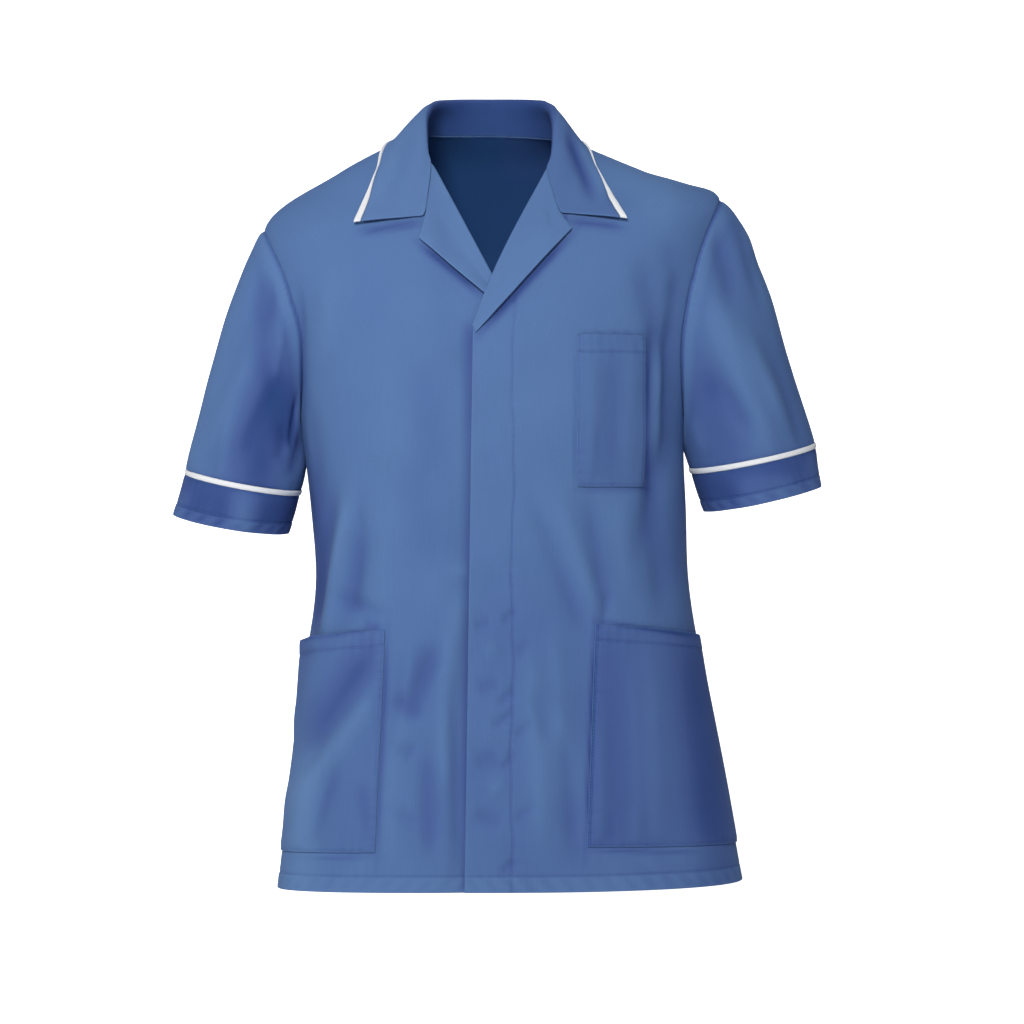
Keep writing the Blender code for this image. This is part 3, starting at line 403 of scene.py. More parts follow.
# Collar: crest of its roll by the share of the way round half the neck, and its outer edge behind
COLLAR_START = {"right": 0.06, "left": 0.0}
COLLAR_START_HEIGHT = 4.5
COLLAR_CLEAR = 1.5
COLLAR_ROLLS = np.array(
    [
        (0.12, 61.3, -39.0, -8.0),
        (0.24, 62.8, -24.0, 16.0),
        (0.36, 63.5, -4.0, 38.0),
        (0.52, 57.0, 22.0, 50.5),
        (0.68, 43.0, 46.0, 55.0),
        (0.84, 23.0, 61.0, 57.0),
        (1.00, 0.0, 66.0, 57.5),
    ]
)
COLLAR_EDGE = {
    "right": np.array([(0.42, 92, 788), (0.70, 135, 775), (1.00, 180, 762)]),
    "left": np.array([(0.42, 92, 800), (0.70, 135, 780), (1.00, 180, 762)]),
}
COLLAR_EDGE_TOP = {"right": (-111.0, -22.0), "left": (105.0, -20.0)}
COLLAR_EDGE_STEPS = 6
COLLAR_EDGE_SHARE = 0.3
COLLAR_LIFT = 2.6
COLLAR_EDGE_LIFT = 3.8
COLLAR_SHOULDER_LIFT = 1.0
COLLAR_FALL_COLUMNS = 12
COLLAR_COLUMNS = 56
COLLAR_ROLLED = 18
# The roll beside its crest, outwards and upwards, at full size from a stand of this height on
ROLL_INSIDE = (-3.6, -5.0)
ROLL_LIP = (-2.3, -1.3)
ROLL_SHOULDER = (2.6, -1.6)
ROLL_FULL_HEIGHT = 12.0
ROLL_SMALLEST = 0.45
STAND_WALL = 1.6
STAND_RISE = 0.5
COLLAR_LANDING = {"right": 0.66, "left": 0.76}
GORGE_SHARE = 0.38
GORGE_RUN_SHARE = 0.7
GORGE_FADE = 0.3
GORGE_FADE_POWER = 3.0
GORGE_GAP = 0.2
GORGE_ROLL_GAP = 0.5
COLLAR_PIPING_WIDTH = 6.4
COLLAR_PIPING_DOME = 0.8
COLLAR_PIPING_SINK = 1.1
CUFF_PIPING_DOME = 0.9
CUFF_PIPING_SINK = 1.5
PIPING_COLUMNS = 9
PIPING_PUCKER = 0.06
PIPING_WIDENING = 0.5
PIPING_WIDE_PLACE = (0.16, 0.09)
COLLAR_CREASES = (
    (78, 14, 100, -50, 6, -2.0),
    (90, 8, 116, -44, 6, 1.8),
    (104, -10, 122, -56, 5, -1.2),
    (-78, 8, -96, -48, 9, -0.5),
    (-92, -4, -112, -50, 9, 0.8),
)
LAPEL_CREASES = (
    (57, -66, 61, -84, 2.4, -1.0),
    (52, -70, 58, -78, 2.0, 0.6),
    (-50, -60, -40, -120, 9, -0.7),
)
LAPEL_LIFT = 0.9
LAPEL_EDGE_LIFT = 3.2
LAPEL_SPRING = 1.6
LAPEL_SPRING_FADE = 5.0
LAPEL_HOOK = 2.0
LAPEL_HOOK_DROP = 1.3
LAPEL_TURN_GAP = 0.1
LAPEL_ROLLED = 6

# Pockets in front view: the breast pocket's x and z. A hip pocket's inner edge, top and bottom (x, z),
# the heights of its ends at the side seam, and how far its mouth stands off
CHEST_POCKET_X = (85.1, 152.8)
CHEST_POCKET_Z = (-337.4, -189.2)
CHEST_GAPE = 0.6
HIP_POCKETS = {
    "right": (-101.2, -476.5, -110.9, -693.0, -495.0, -699.0, 9.0),
    "left": (103.0, -471.0, 94.7, -687.0, -488.0, -691.0, 3.5),
}
POCKET_SIDE_DEGREES = 89.2
POCKET_WIDTH = 170.0
POCKET_GRADE = {"fine": 0.45, "reach": 3.0}
POCKET_CREASES = {
    "chest_pocket": (
        (98, -205, 100, -325, 8, 1.0),
        (120, -212, 116, -325, 10, -1.4),
        (139, -210, 134, -320, 8, 1.0),
        (142, -196, 150, -214, 4, -1.0),
        (106, -280, 104, -330, 5, -0.9),
    ),
    "hip_pocket_right": (
        (-112, -492, -190, -612, 15, -5.5),
        (-112, -544, -190, -650, 11, 5.4),
        (-150, -612, -172, -686, 7, -3.6),
        (-176, -640, -196, -700, 8, 2.0),
        (-124, -630, -112, -680, 8, -2.8),
        (-176, -500, -196, -560, 10, -3.0),
        (-150, -494, -180, -505, 5, -1.2),
    ),
    "hip_pocket_left": (
        (122, -492, 126, -670, 13, -1.0),
        (140, -520, 146, -670, 6, 0.8),
        (156, -500, 164, -690, 10, 1.6),
        (190, -492, 212, -692, 14, -1.6),
        (106, -560, 104, -680, 8, 1.6),
        (118, -655, 118, -688, 4, -1.2),
        (141, -650, 142, -688, 5, 1.2),
    ),
}
# Painted shade of whole pieces; a pocket's fades towards its outer edge
POCKET_SHADES = {"chest_pocket": -1.3, "hip_pocket_right": -0.9, "hip_pocket_left": -1.7}
POCKET_SHADE_FADE = 0.6
SLEEVE_PIECE_SHADES = {"right": -0.4, "left": -1.2}
CUFF_SHADES = {"right": -3.8, "left": -3.7}
# Painted shade on parts of the sleeves and painted light on parts of the cuffs, laid out as the sleeve folds
# are
SLEEVE_SHADES = {
    "right": ((0.17, -0.25, 0.16, 0.70, 0.07, -2.8), (0.28, -0.10, 0.20, 1.50, 0.09, -2.4)),
    "left": ((0.17, -0.30, 0.16, 1.50, 0.06, -1.3), (0.46, -0.10, 0.44, 0.40, 0.04, -1.4)),
}
CUFF_LIGHTS = {
    "right": ((0.24, -0.3, 0.20, 1.2, 0.035, 2.0), (0.40, 0.2, 0.44, 1.4, 0.03, 0.8)),
    "left": ((0.26, 0.1, 0.34, 1.6, 0.06, 1.6), (0.42, -0.2, 0.38, 1.4, 0.03, 0.8)),
}

# Weave and wear of the cloth, and its painted shade and light
TWILL_FEEL = {"slant": 1.1, "roughness": 0.84, "sheen": 0.08, "depth": 0.00012}
PIPING_FEEL = {"rib": 0.0006, "slant": 0.78, "roughness": 0.8, "sheen": 0.15, "depth": 0.00008}
PIPING_SHADE_SHARE = 0.86
THREAD_PALE = 1.35
YARN_SHARE = 0.35
WEAVE_HALF = 0.37
FIBRE_SHARE = 0.35
UNEVEN_SCALE = 260.0
FIBRE_SCALE = 1400.0
FIBRE_STRETCH = (1.0, 0.35, 1.0)
CRUMPLE_SCALE = 70.0
PATCH_SCALE = 90.0
WEAR_SHARE = 0.3
MOTTLE_SCALE = 9.0
MOTTLE_SHARE = 0.05
SLUB_SHARE = 0.06
WEAVE_SHARE = 0.22
TWIST_SCALE = 1800.0
SLUB_STRETCH = (900.0, 28.0, 1.0)
# Painted shade and light from the shading: toward the shaded colour in troughs, the inside colour where it is
# lowest, and the worn colour as painted highlight on ridges
TROUGH_SHADE_RATE, TROUGH_SHADE_MOST = -0.20, 0.85
SHADOW_RATE, SHADOW_FROM = -0.3, 3.0
HIGHLIGHT_RATE, HIGHLIGHT_MOST = 0.16, 0.7
WEAR_REACH = 0.0012

# Light and camera, in metres
CAMERA_PLACE = (0.022, -4.0, -0.362)
LIGHT_TARGET = (0.02, 0.0, -0.36)
KEY_PLACE = (-0.55, -3.45, 1.6)
SIDE_PLACE = (-3.3, -1.1, 0.0)
FILL_PLACE = (2.4, -2.8, 0.2)
LAMP_SIZES = {"key": 1.0, "side": 1.0, "fill": 2.0}
SKY_TINT = (0.72, 0.84, 1.0, 1.0)
WHITE = (1.0, 1.0, 1.0, 1.0)
PAPER = (0.86, 0.86, 0.86, 1.0)
FRAME_WIDTH = 1.024
SENSOR = 36.0
# Paper sweep in millimetres
SWEEP_RADIUS = 700.0
SWEEP_FRONT = -6000.0
SWEEP_BACK = 1400.0
SWEEP_TOP = 4200.0
SWEEP_HALF_WIDTH = 7000.0


def colour(name, description, default):
    """A colour that the panel shows."""
    return bpy.props.FloatVectorProperty(
        name=name, description=description, subtype="COLOR", size=3, min=0.0, max=1.0, default=default
    )


def thickness(name, description, least, most, default):
    """A length that the panel shows."""
    return bpy.props.FloatProperty(
        name=name, description=description, unit="LENGTH", min=least, max=most, default=default
    )


def power(name, description, default):
    """A lamp's power that the panel shows."""
    return bpy.props.FloatProperty(name=name, description=description, unit="POWER", min=0.0, default=default)


class TunicCloth(bpy.types.PropertyGroup):
    """Cloth, thread and trim of the tunic."""

    # Shaded twill is painted shade in troughs and seams, shadowed twill painted shadow, and worn twill both
    # the wear of folded edges and painted highlight on ridges
    twill: colour("Twill", "Colour of the blue twill", (0.098, 0.188, 0.405))
    shaded: colour("Deep twill", "Colour of the twill in its troughs and seams", (0.041, 0.067, 0.268))
    inside: colour("Inside twill", "Colour of the twill where hardly any light comes", (0.014, 0.062, 0.200))
    worn: colour("Worn twill", "Colour of the twill on its folded edges", (0.140, 0.262, 0.50))
    piping: colour("Piping", "Colour of the cotton piping", (0.93, 0.93, 0.93))
    thread: colour("Thread", "Colour of the sewing thread", (0.09, 0.175, 0.39))
    wall: thickness("Cloth wall", "Thickness of the body cloth with its facings", 0.0005, 0.002, 0.0013)
    trim_wall: thickness("Trim wall", "Thickness of the lapels, pockets and collar", 0.0005, 0.0014, 0.0011)
    rib: thickness("Twill rib", "Distance from one twill rib to the next", 0.0003, 0.003, 0.0009)


class TunicStage(bpy.types.PropertyGroup):
    """Floor, light and camera round the tunic."""

    key_power: power("Key light", "Power of the soft light from above in front, a little to the left", 102.0)
    side_power: power("Side light", "Power of the light from the left side", 13.0)
    fill_power: power("Fill light", "Power of the weak light from the right in front", 3.0)
    sky: bpy.props.FloatProperty(
        name="Room light", description="Brightness of the white room", min=0.0, max=2.0, default=0.17
    )
    floor_drop: thickness("Floor drop", "Distance of the floor below the hem", 0.0, 10.0, 0.36)


def smooth(t):
    """Smooth step from 0 to 1: three squares less two cubes."""
    t = np.clip(t, 0.0, 1.0)
    return t * t * (3.0 - 2.0 * t)


def ramp(value, start, length):
    """Smooth step from 0 at a start to 1 a length further on, or below the start where the length is
    negative."""
    return smooth((value - start) / length)


def bell(distance, width):
    """Bell curve of a distance."""
    return np.exp(-((distance / width) ** 2))


def unit(v):
    """Each vector divided by its length."""
    return v / np.maximum(np.linalg.norm(v, axis=-1, keepdims=True), 1e-12)


def graded(end, step, marks, fine=0.3, reach=4.0):
    """Places from 0 to an end, a step apart, closer together round each mark: even steps of a running
    density."""
    x = np.linspace(0.0, end, 6001)
    marks = np.asarray(marks, float)[:, None]
    near = np.exp(-(((x - marks) / reach) ** 2)).max(axis=0)
    density = (1 + (1 / fine - 1) * near) / step
    run = np.r_[0, np.cumsum((density[1:] + density[:-1]) / 2 * np.diff(x))]
    return np.interp(np.linspace(0, run[-1], int(round(run[-1])) + 1), run, x)


LOWER_LEVELS = graded(ARMPIT_LEVEL, CLOTH_STEP, (0.0, HEM_STITCH))


def curve_through(keys, values, at):
    """Smooth curve through the values at the keys: cubic pieces whose slopes come from the neighbours."""
    keys = np.asarray(keys, float)
    values = np.asarray(values, float).reshape(len(keys), -1)
    slopes = np.gradient(values, keys, axis=0)
    at = np.clip(np.asarray(at, float), keys[0], keys[-1])
    i = np.clip(np.searchsorted(keys, at, side="right") - 1, 0, len(keys) - 2)
    step = (keys[i + 1] - keys[i])[..., None]
    t = (at - keys[i])[..., None] / step
    return (
        (1 + 2 * t) * (1 - t) ** 2 * values[i]
        + t * (1 - t) ** 2 * step * slopes[i]
        + t * t * (3 - 2 * t) * values[i + 1]
        + t * t * (t - 1) * step * slopes[i + 1]
    )


def body(angle, level):
    """Worn form: a superellipse in plan at each level, its height swaying from the sides to the front and
    back."""
    angle, level = np.broadcast_arrays(np.asarray(angle, float), level)
    ring = curve_through(RINGS[:, 0], RINGS[:, 1:], level)
    front_z, right_z, left_z, back_z, right_x, left_x, front_y, back_y, power = np.moveaxis(ring, -1, 0)
    s, c = np.sin(angle), np.cos(angle)
    reach = (np.abs(s) ** power + np.abs(c) ** power) ** (-1.0 / power)
    x = np.where(s > 0, left_x, -right_x) * reach * s
    y = -np.where(c > 0, -front_y, back_y) * reach * c
    side_z = np.where(s > 0, left_z, right_z)
    middle_z = np.where(c > 0, front_z, back_z)
    z = side_z + (middle_z - side_z) * np.abs(c) ** SWAY_POWER
    return np.stack([x, y, z], axis=-1)


def body_normal(angle, level):
    """Outward direction of the worn form: the cross product of small steps round and up."""
    turn, rise = 0.002, 1.0
    round_step = body(angle + turn, level) - body(angle - turn, level)
    up_step = body(angle, level + rise) - body(angle, level - rise)
    return unit(np.cross(round_step, up_step))


def lines_height(x, z, lines):
    """Height of soft folds in a view: a bell across each line, faded at both ends, all added up."""
    total = np.zeros(np.shape(x))
    for x0, z0, x1, z1, width, height in lines:
        along_x, along_z = x1 - x0, z1 - z0
        length = np.hypot(along_x, along_z)
        t = ((x - x0) * along_x + (z - z0) * along_z) / length**2
        off = ((x - x0) * along_z - (z - z0) * along_x) / length
        fade = ramp(t, -LINE_FADE, 2 * LINE_FADE) * ramp(t, 1 + LINE_FADE, -2 * LINE_FADE)
        total += height * bell(off, width) * fade
    return total


def ripple(u, v):
    """Slow waves across and along the cloth, added up."""
    total = np.zeros(np.broadcast(u, v).shape)
    for across, up, phase, height in RIPPLES:
        total = total + height * np.sin((across * u + up * v) * MM + phase)
    return total


def under_sink(points):
    """How far the under front is set in: a smooth step towards the centre, more under the lapel, and a
    last dip at the edge of the front that lies over it."""
    x, z = points[..., 0], points[..., 2]
    lapel = ramp(z, *UNDER_LAPEL_FOOT) * ramp(z, *UNDER_LAPEL_TOP)
    dip = UNDER_DIP * ramp(x, *UNDER_DIP_X) * ramp(z, *UNDER_DIP_TOP)
    return -(UNDER_SINK + UNDER_LAPEL_SINK * lapel) * ramp(x, *UNDER_SINK_X) - dip


def cloth(angle, level, side=None):
    """Points of the worn cloth, their outward directions, and the height of its folds."""
    points, normals = body(angle, level), body_normal(angle, level)
    x, y, z = np.moveaxis(points, -1, 0)
    ahead = lines_height(x, z, FRONT_FOLDS) + lines_height(x, z, FRONT_CREASES) + ripple(x, z)
    behind = lines_height(x, z, BACK_FOLDS) + lines_height(x, z, BACK_CREASES)
    behind += ripple(z, x + BACK_RIPPLE_SHIFT)
    folds = np.where(y < 0, ahead, behind) * smooth(np.abs(y) / SIDE_FADE)
    raised = folds + (under_sink(points) if side == "right" else 0.0)
    dip = bell(x - SHOULDER_DIP_X, SHOULDER_DIP_WIDTH) * ramp(z, *SHOULDER_DIP_FOOT)
    raised = raised - SHOULDER_DIP_DEPTH * dip * ramp(np.abs(y), *SHOULDER_DIP_Y)
    return points + normals * raised[..., None], normals, folds


def angle_at(x, level):
    """Angle in the front half at which a ring passes x, found by halving."""
    low = np.full(np.shape(level), -np.pi / 2)
    high = np.full(np.shape(level), np.pi / 2)
    for _ in range(HALVINGS):
        middle = (low + high) / 2
        past = body(middle, level)[..., 0] > x
        high = np.where(past, middle, high)
        low = np.where(past, low, middle)
    return (low + high) / 2


def place_in_front(x, z):
    """Angle and level of the front's point at x and z in front view, by Newton's steps."""
    x, z = np.asarray(x, float), np.asarray(z, float)
    angle = np.arcsin(np.clip(x / FRONT_WIDTH, -0.9, 0.9))
    level = np.interp(z, RINGS[:, 1], RINGS[:, 0])
    turn, rise = 1e-4, 0.05
    for _ in range(NEWTON_STEPS):
        at = body(angle, level)
        by_turn = (body(angle + turn, level) - at) / turn
        by_rise = (at - body(angle, level - rise)) / rise
        a, b = by_turn[..., 0], by_rise[..., 0]
        c, d = by_turn[..., 2], by_rise[..., 2]
        miss_x, miss_z = x - at[..., 0], z - at[..., 2]
        det = a * d - b * c
        det = np.where(np.abs(det) < 1e-6, 1e-6, det)
        more_angle = np.clip((d * miss_x - b * miss_z) / det, -LONGEST_TURN, LONGEST_TURN)
        more_level = np.clip((a * miss_z - c * miss_x) / det, -LONGEST_RISE, LONGEST_RISE)
        angle = np.clip(angle + more_angle, -WIDEST_ANGLE, WIDEST_ANGLE)
        level = np.clip(level + more_level, 1, NECK_LEVEL)
    return angle, level


def between(values, count):
    """Points along a line of (angle, level) keys, evenly spaced by their length on the form."""
    values = np.asarray(values, float)
    share = np.linspace(0, 1, len(values))
    fine = np.linspace(0, 1, PATH_POINTS)
    path = curve_through(share, values, fine)
    points = body(path[:, 0], path[:, 1])
    run = np.r_[0, np.cumsum(np.linalg.norm(np.diff(points, axis=0), axis=1))]
    at = np.interp(np.linspace(0, run[-1], count + 1), run, fine)
    return curve_through(share, values, at)


def armhole(side, half):
    """(angle, level) up one half of an armhole: an oval, wider towards its top."""
    phase = np.linspace(-np.pi / 2, np.pi / 2, UPPER_ROWS + 1)
    turn = np.radians(ARMHOLE_DEGREES[half]) * np.cos(phase) * (1 + ARMHOLE_TOP_SHARE * np.sin(phase))
    angle = np.pi / 2 + (-turn if half == "front" else turn)
    level = ARMPIT_LEVEL + (TIP_LEVEL - ARMPIT_LEVEL) * (1 + np.sin(phase)) / 2
    return np.stack([SIDES[side] * angle, level], axis=-1)


def line_in_front(keys, count):
    """Evenly spaced points of a smooth line through keys in front view."""
    keys = np.asarray(keys, float)
    run = np.r_[0, np.cumsum(np.linalg.norm(np.diff(keys, axis=0), axis=1))]
    return curve_through(run, keys, np.linspace(0, run[-1], count + 1))


def along_in_front(keys, count):
    """(angle, level) of evenly spaced points of a smooth line through keys in front view."""
    line = line_in_front(keys, count)
    return np.stack(place_in_front(line[:, 0], line[:, 1]), axis=-1)


def roll_line(side):
    """(angle, level) up the roll line, from the break to the top."""
    return along_in_front([BREAK[side], V_BOTTOM, ROLL_TOP[side]], LAPEL_ROWS)


def front_neck(side):
    """(angle, level) keys from the top of the roll line to the shoulder seam."""
    top = roll_line(side)[-1]
    shoulder = np.array([SIDES[side] * np.pi / 2, NECK_LEVEL])
    return np.array([top, (top + shoulder) / 2, shoulder])


def front_inner_edge(side):
    """(angle, level) up the free edge of a front, round its roll line and neck to the shoulder seam."""
    roll = roll_line(side)
    chest = np.linspace(ARMPIT_LEVEL, roll[0, 1], CHEST_ROWS + 1)[1:-1]
    levels = np.r_[LOWER_LEVELS, chest]
    bottom_x, top_x = EDGE_X[side]
    x = bottom_x + (top_x - bottom_x) * levels / roll[0, 1]
    edge = np.stack([angle_at(x, levels), levels], axis=-1)
    neck = between(front_neck(side), NECK_ROWS)
    return np.concatenate([edge, roll, neck[1:]])


def front_outer_edge(side):
    """(angle, level) up the side seam and the armhole's front to the shoulder tip."""
    lower = LOWER_LEVELS[:-1]
    seam = np.stack([np.full(len(lower), SIDES[side] * np.pi / 2), lower], axis=-1)
    return np.concatenate([seam, armhole(side, "front")])


def front_net(side):
    """(angle, level) of each front point: straight rows from the inner edge to the outer one, whose
    columns keep their distance from the inner edge across the placket and share out the rest."""
    inner, outer = front_inner_edge(side), front_outer_edge(side)
    even = np.linspace(0, 1, 65)
    net = inner[:, None] * (1 - even[:, None]) + outer[:, None] * even[:, None]
    steps = np.linalg.norm(np.diff(body(net[..., 0], net[..., 1]), axis=1), axis=-1)
    run = np.pad(np.cumsum(steps, axis=1), ((0, 0), (1, 0)))
    near = graded(PLACKET_REACH, PLACKET_STEP, (0.0, PLACKET_STITCH_PLACE), reach=4.5)
    rest = graded(FRONT_WIDTH, FRONT_STEP, (FRONT_WIDTH,))[1:] / FRONT_WIDTH
    rest_at = PLACKET_REACH + (run[:, -1:] - PLACKET_REACH) * rest
    at = np.concatenate([np.tile(near, (len(run), 1)), rest_at], axis=1)
    shift = np.arange(len(run))[:, None] * 1e4
    share = np.interp((at + shift).ravel(), (run + shift).ravel(), np.tile(even, len(run)))
    share = share.reshape(at.shape)[..., None]
    return inner[:, None] * (1 - share) + outer[:, None] * share


def back_net():
    """(angle, level) of each back point: even rows below the armpits, and above them a blend of the four
    edges, each edge's points taken across, less the corners counted twice."""
    right, left = 1.5 * np.pi, 0.5 * np.pi
    share = np.linspace(0, 1, 2 * BACK_SHOULDER_COLUMNS + BACK_NECK_COLUMNS + 1)
    lower_net = np.stack(np.meshgrid(right + (left - right) * share, LOWER_LEVELS), axis=-1)
    rise = np.linspace(TIP_LEVEL, NECK_LEVEL, BACK_SHOULDER_COLUMNS + 1)
    round_neck = np.linspace(right, left, BACK_NECK_COLUMNS + 1)
    top_angle = np.r_[np.full(BACK_SHOULDER_COLUMNS, right), round_neck, np.full(BACK_SHOULDER_COLUMNS, left)]
    top_level = np.r_[rise[:-1], np.full(BACK_NECK_COLUMNS + 1, NECK_LEVEL), rise[-2::-1]]
    top = np.stack([top_angle, top_level], axis=-1)
    bottom = lower_net[-1]
    right_edge = armhole("right", "back")
    right_edge[:, 0] += 2 * np.pi
    left_edge = armhole("left", "back")
    up = np.linspace(0, 1, UPPER_ROWS + 1)[:, None, None]
    across = share[None, :, None]
    upper_net = (
        (1 - up) * bottom[None]
        + up * top[None]
        + (1 - across) * right_edge[:, None]
        + across * left_edge[:, None]
        - (1 - up) * ((1 - across) * bottom[0] + across * bottom[-1])
        - up * ((1 - across) * top[0] + across * top[-1])
    )
    return np.concatenate([lower_net, upper_net[1:]])


def arcs(grid):
    """Running lengths across the rows and up the columns of a grid of points."""
    across = np.linalg.norm(np.diff(grid, axis=1), axis=-1)
    up = np.linalg.norm(np.diff(grid, axis=0), axis=-1)
    u = np.pad(np.cumsum(across, axis=1), ((0, 0), (1, 0)))
    v = np.pad(np.cumsum(up, axis=0), ((1, 0), (0, 0)))
    return u, v


def pucker(along, distance, reach, height):
    """Small uneven ripples along a seam: two waves of 9 and 23 mm whose height fades over the reach."""
    wave = 0.6 * np.sin(along * 0.70 + 0.9 * np.sin(along * 0.11)) + 0.4 * np.sin(along * 0.27 + 1.3)
    rough = 0.55 + 0.45 * np.sin(along * 0.043 + 0.7)
    return height * wave * rough * np.exp(-np.abs(distance) / reach)


def pull_in(grid, gap, tube=False):
    """Moves a grid's edge points towards their neighbours inside."""
    grid = grid.copy()
    edges = [(0, 1, 0), (-1, -2, 0)]
    if not tube:
        edges += [(0, 1, 1), (-1, -2, 1)]
    for edge, inside, axis in edges:
        line = np.take(grid, edge, axis=axis)
        way = unit(np.take(grid, inside, axis=axis) - line)
        if axis == 0:
            grid[edge] = line + way * gap
        else:
            grid[:, edge] = line + way * gap
    return grid


def rim_loops(rows, columns, tube):
    """Each closed run of a grid's border points, in the turning sense of its faces."""
    index = np.arange(rows * columns).reshape(rows, columns)
    if tube:
        return [index[0], index[-1, ::-1]]
    return [np.concatenate([index[0, :-1], index[:-1, -1], index[-1, :0:-1], index[:0:-1, 0]])]


def rim_away(grid, tube):
    """Direction out of the grid at its border points: away from the neighbours inside."""
    away = np.zeros_like(grid)
    away[0] += unit(grid[0] - grid[1])
    away[-1] += unit(grid[-1] - grid[-2])
    if not tube:
        away[:, 0] += unit(grid[:, 0] - grid[:, 1])
        away[:, -1] += unit(grid[:, -1] - grid[:, -2])
    return unit(away).reshape(-1, 3)


def link_mesh(name, points, faces, material):
    """A mesh object at the origin from points in millimetres and faces of four corners."""
    mesh = bpy.data.meshes.new(name)
    mesh.vertices.add(len(points))
    mesh.vertices.foreach_set("co", (points * MM).astype(np.float32).ravel())
    mesh.loops.add(faces.size)
    mesh.loops.foreach_set("vertex_index", faces.astype(np.int32).ravel())
    mesh.polygons.add(len(faces))
    mesh.polygons.foreach_set("loop_start", np.arange(0, faces.size, 4, dtype=np.int32))
    mesh.update(calc_edges=True)
    mesh.validate()
    mesh.shade_smooth()
    mesh.materials.append(material)
    piece = bpy.data.objects.new(name, mesh)
    bpy.context.scene.collection.objects.link(piece)
    return piece


def spread(mesh, name, values):
    """Writes one number a point as a named attribute."""
    mesh.attributes.new(name, "FLOAT", "POINT").data.foreach_set("value", values.astype(np.float32))


def inner_face_shade(points):
    """Shading given to the inside of the cloth, as painted shade: lowest, so the darkest painted shadow, a
    little below the neck seam.
    """
    x, z = points[..., 0], points[..., 2]
    light = NECK_LIGHT * ramp(z, *NECK_LIGHT_FOOT) * ramp(x, *NECK_LIGHT_X)
    return INNER_SHADE + NECK_SHADOW * ramp(z, *NECK_FOOT) * (1 - light)


def grid_faces(rows, columns, tube=False):
    """Faces of four corners between the points of a grid, whose rows are closed if it is a tube."""
    index = np.arange(rows * columns).reshape(rows, columns)
    if tube:
        index = np.concatenate([index, index[:, :1]], axis=1)
    return np.stack([index[:-1, :-1], index[:-1, 1:], index[1:, 1:], index[1:, :-1]], axis=-1).reshape(-1, 4)


def make_shell(name, outer, inner, material, shading, tube=False):
    """A closed cloth shell: the outer and inner grids joined by a half-round rim, with its pattern
    coordinates in metres along the cloth, the shading in millimetres that paints shade and light on its
    colour, and the distance to its nearest edge."""
    u, v = arcs(outer)
    edge = np.minimum(v, v[-1:] - v)
    if not tube:
        edge = np.minimum(edge, np.minimum(u, u[:, -1:] - u))
    outer, inner = pull_in(outer, RIM_ROUND, tube), pull_in(inner, RIM_ROUND, tube)
    rows, columns = outer.shape[:2]
    layer = rows * columns
    skin = grid_faces(rows, columns, tube)
    faces = [skin, skin[:, ::-1] + layer]
    flat_outer, flat_inner = outer.reshape(-1, 3), inner.reshape(-1, 3)
    away = rim_away(outer, tube)
    points, us, vs = [flat_outer, flat_inner], [u.ravel(), u.ravel()], [v.ravel(), v.ravel()]
    count = 2 * layer
    for loop in rim_loops(rows, columns, tube):
        middle = (flat_outer[loop] + flat_inner[loop]) / 2
        half = (flat_outer[loop] - flat_inner[loop]) / 2
        previous = loop
        for degrees in RIM_STEPS:
            c, s = np.cos(np.radians(degrees)), np.sin(np.radians(degrees))
            points.append(middle + half * c + away[loop] * RIM_ROUND * s)
            us.append(u.ravel()[loop])
            vs.append(v.ravel()[loop])
            current = count + np.arange(len(loop))
            count += len(loop)
            faces.append(np.stack([np.roll(previous, -1), previous, current, np.roll(current, -1)], axis=-1))
            previous = current
        last = loop + layer
        faces.append(np.stack([np.roll(previous, -1), previous, last, np.roll(last, -1)], axis=-1))
    points, faces = np.concatenate(points), np.concatenate(faces)
    a, b, c, d = (points[faces[:, k]] for k in range(4))
    volume = np.einsum("ij,ij->", a, np.cross(b, c)) + np.einsum("ij,ij->", a, np.cross(c, d))
    if volume < 0:
        faces = faces[:, ::-1]
    piece = link_mesh(name, points, faces, material)
    mesh = piece.data
    mesh.set_sharp_from_angle(angle=np.radians(SHARP_DEGREES))
    rims = len(points) - 2 * layer
    us, vs = np.concatenate(us), np.concatenate(vs)
    corner_u, corner_v = us[faces], vs[faces]
    if tube:
        turn = u[:, -1].mean() * columns / (columns - 1)
        wraps = (corner_u.max(axis=1) - corner_u.min(axis=1)) > turn / 2
        low = corner_u < turn / 2
        corner_u = np.where(wraps[:, None] & low, corner_u + turn, corner_u)
    pattern = mesh.uv_layers.new(name="cloth")
    pattern.data.foreach_set("uv", (np.stack([corner_u, corner_v], axis=-1) * MM).astype(np.float32).ravel())
    # The inner face takes painted shadow, deepest in the neck; the outer face's shading paints shade and
    # light
    spread(mesh, "shading", np.r_[shading.ravel(), inner_face_shade(inner).ravel(), np.zeros(rims)])
    spread(mesh, "edge", np.r_[edge.ravel(), edge.ravel(), np.zeros(rims)] * MM)
    return piece


def make_cloth(node, outer, inner, shading, tube=False):
    """Makes the cloth piece of a node, ties it to the root body and hides the node's solid. It works out
    the size of the cut that shows from its own lengths, at least the narrowest cut, but nothing uses it.
    A strip that shows less than the narrowest cut states that cut and the strip's own area."""
    trim = "piping" in node
    material = piping_material() if trim else twill_material()
    piece = make_shell("cloth_" + node, outer, inner, material, shading, tube)
    u, v = arcs(outer)
    width, length = float(u[:, -1].max()) * MM, float(v[-1].max()) * MM
    if tube:
        width *= outer.shape[1] / (outer.shape[1] - 1)
    width, length = max(width, NARROWEST_CUT * MM), max(length, NARROWEST_CUT * MM)
    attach(piece, "root")
    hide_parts(node)


def grid_normals(grid, tube=False):
    """Directions square to a grid of points: the cross product of its steps along rows and columns."""
    if tube:
        across = np.roll(grid, -1, axis=1) - np.roll(grid, 1, axis=1)
    else:
        across = np.gradient(grid, axis=1)
    return unit(np.cross(np.gradient(grid, axis=0), across))


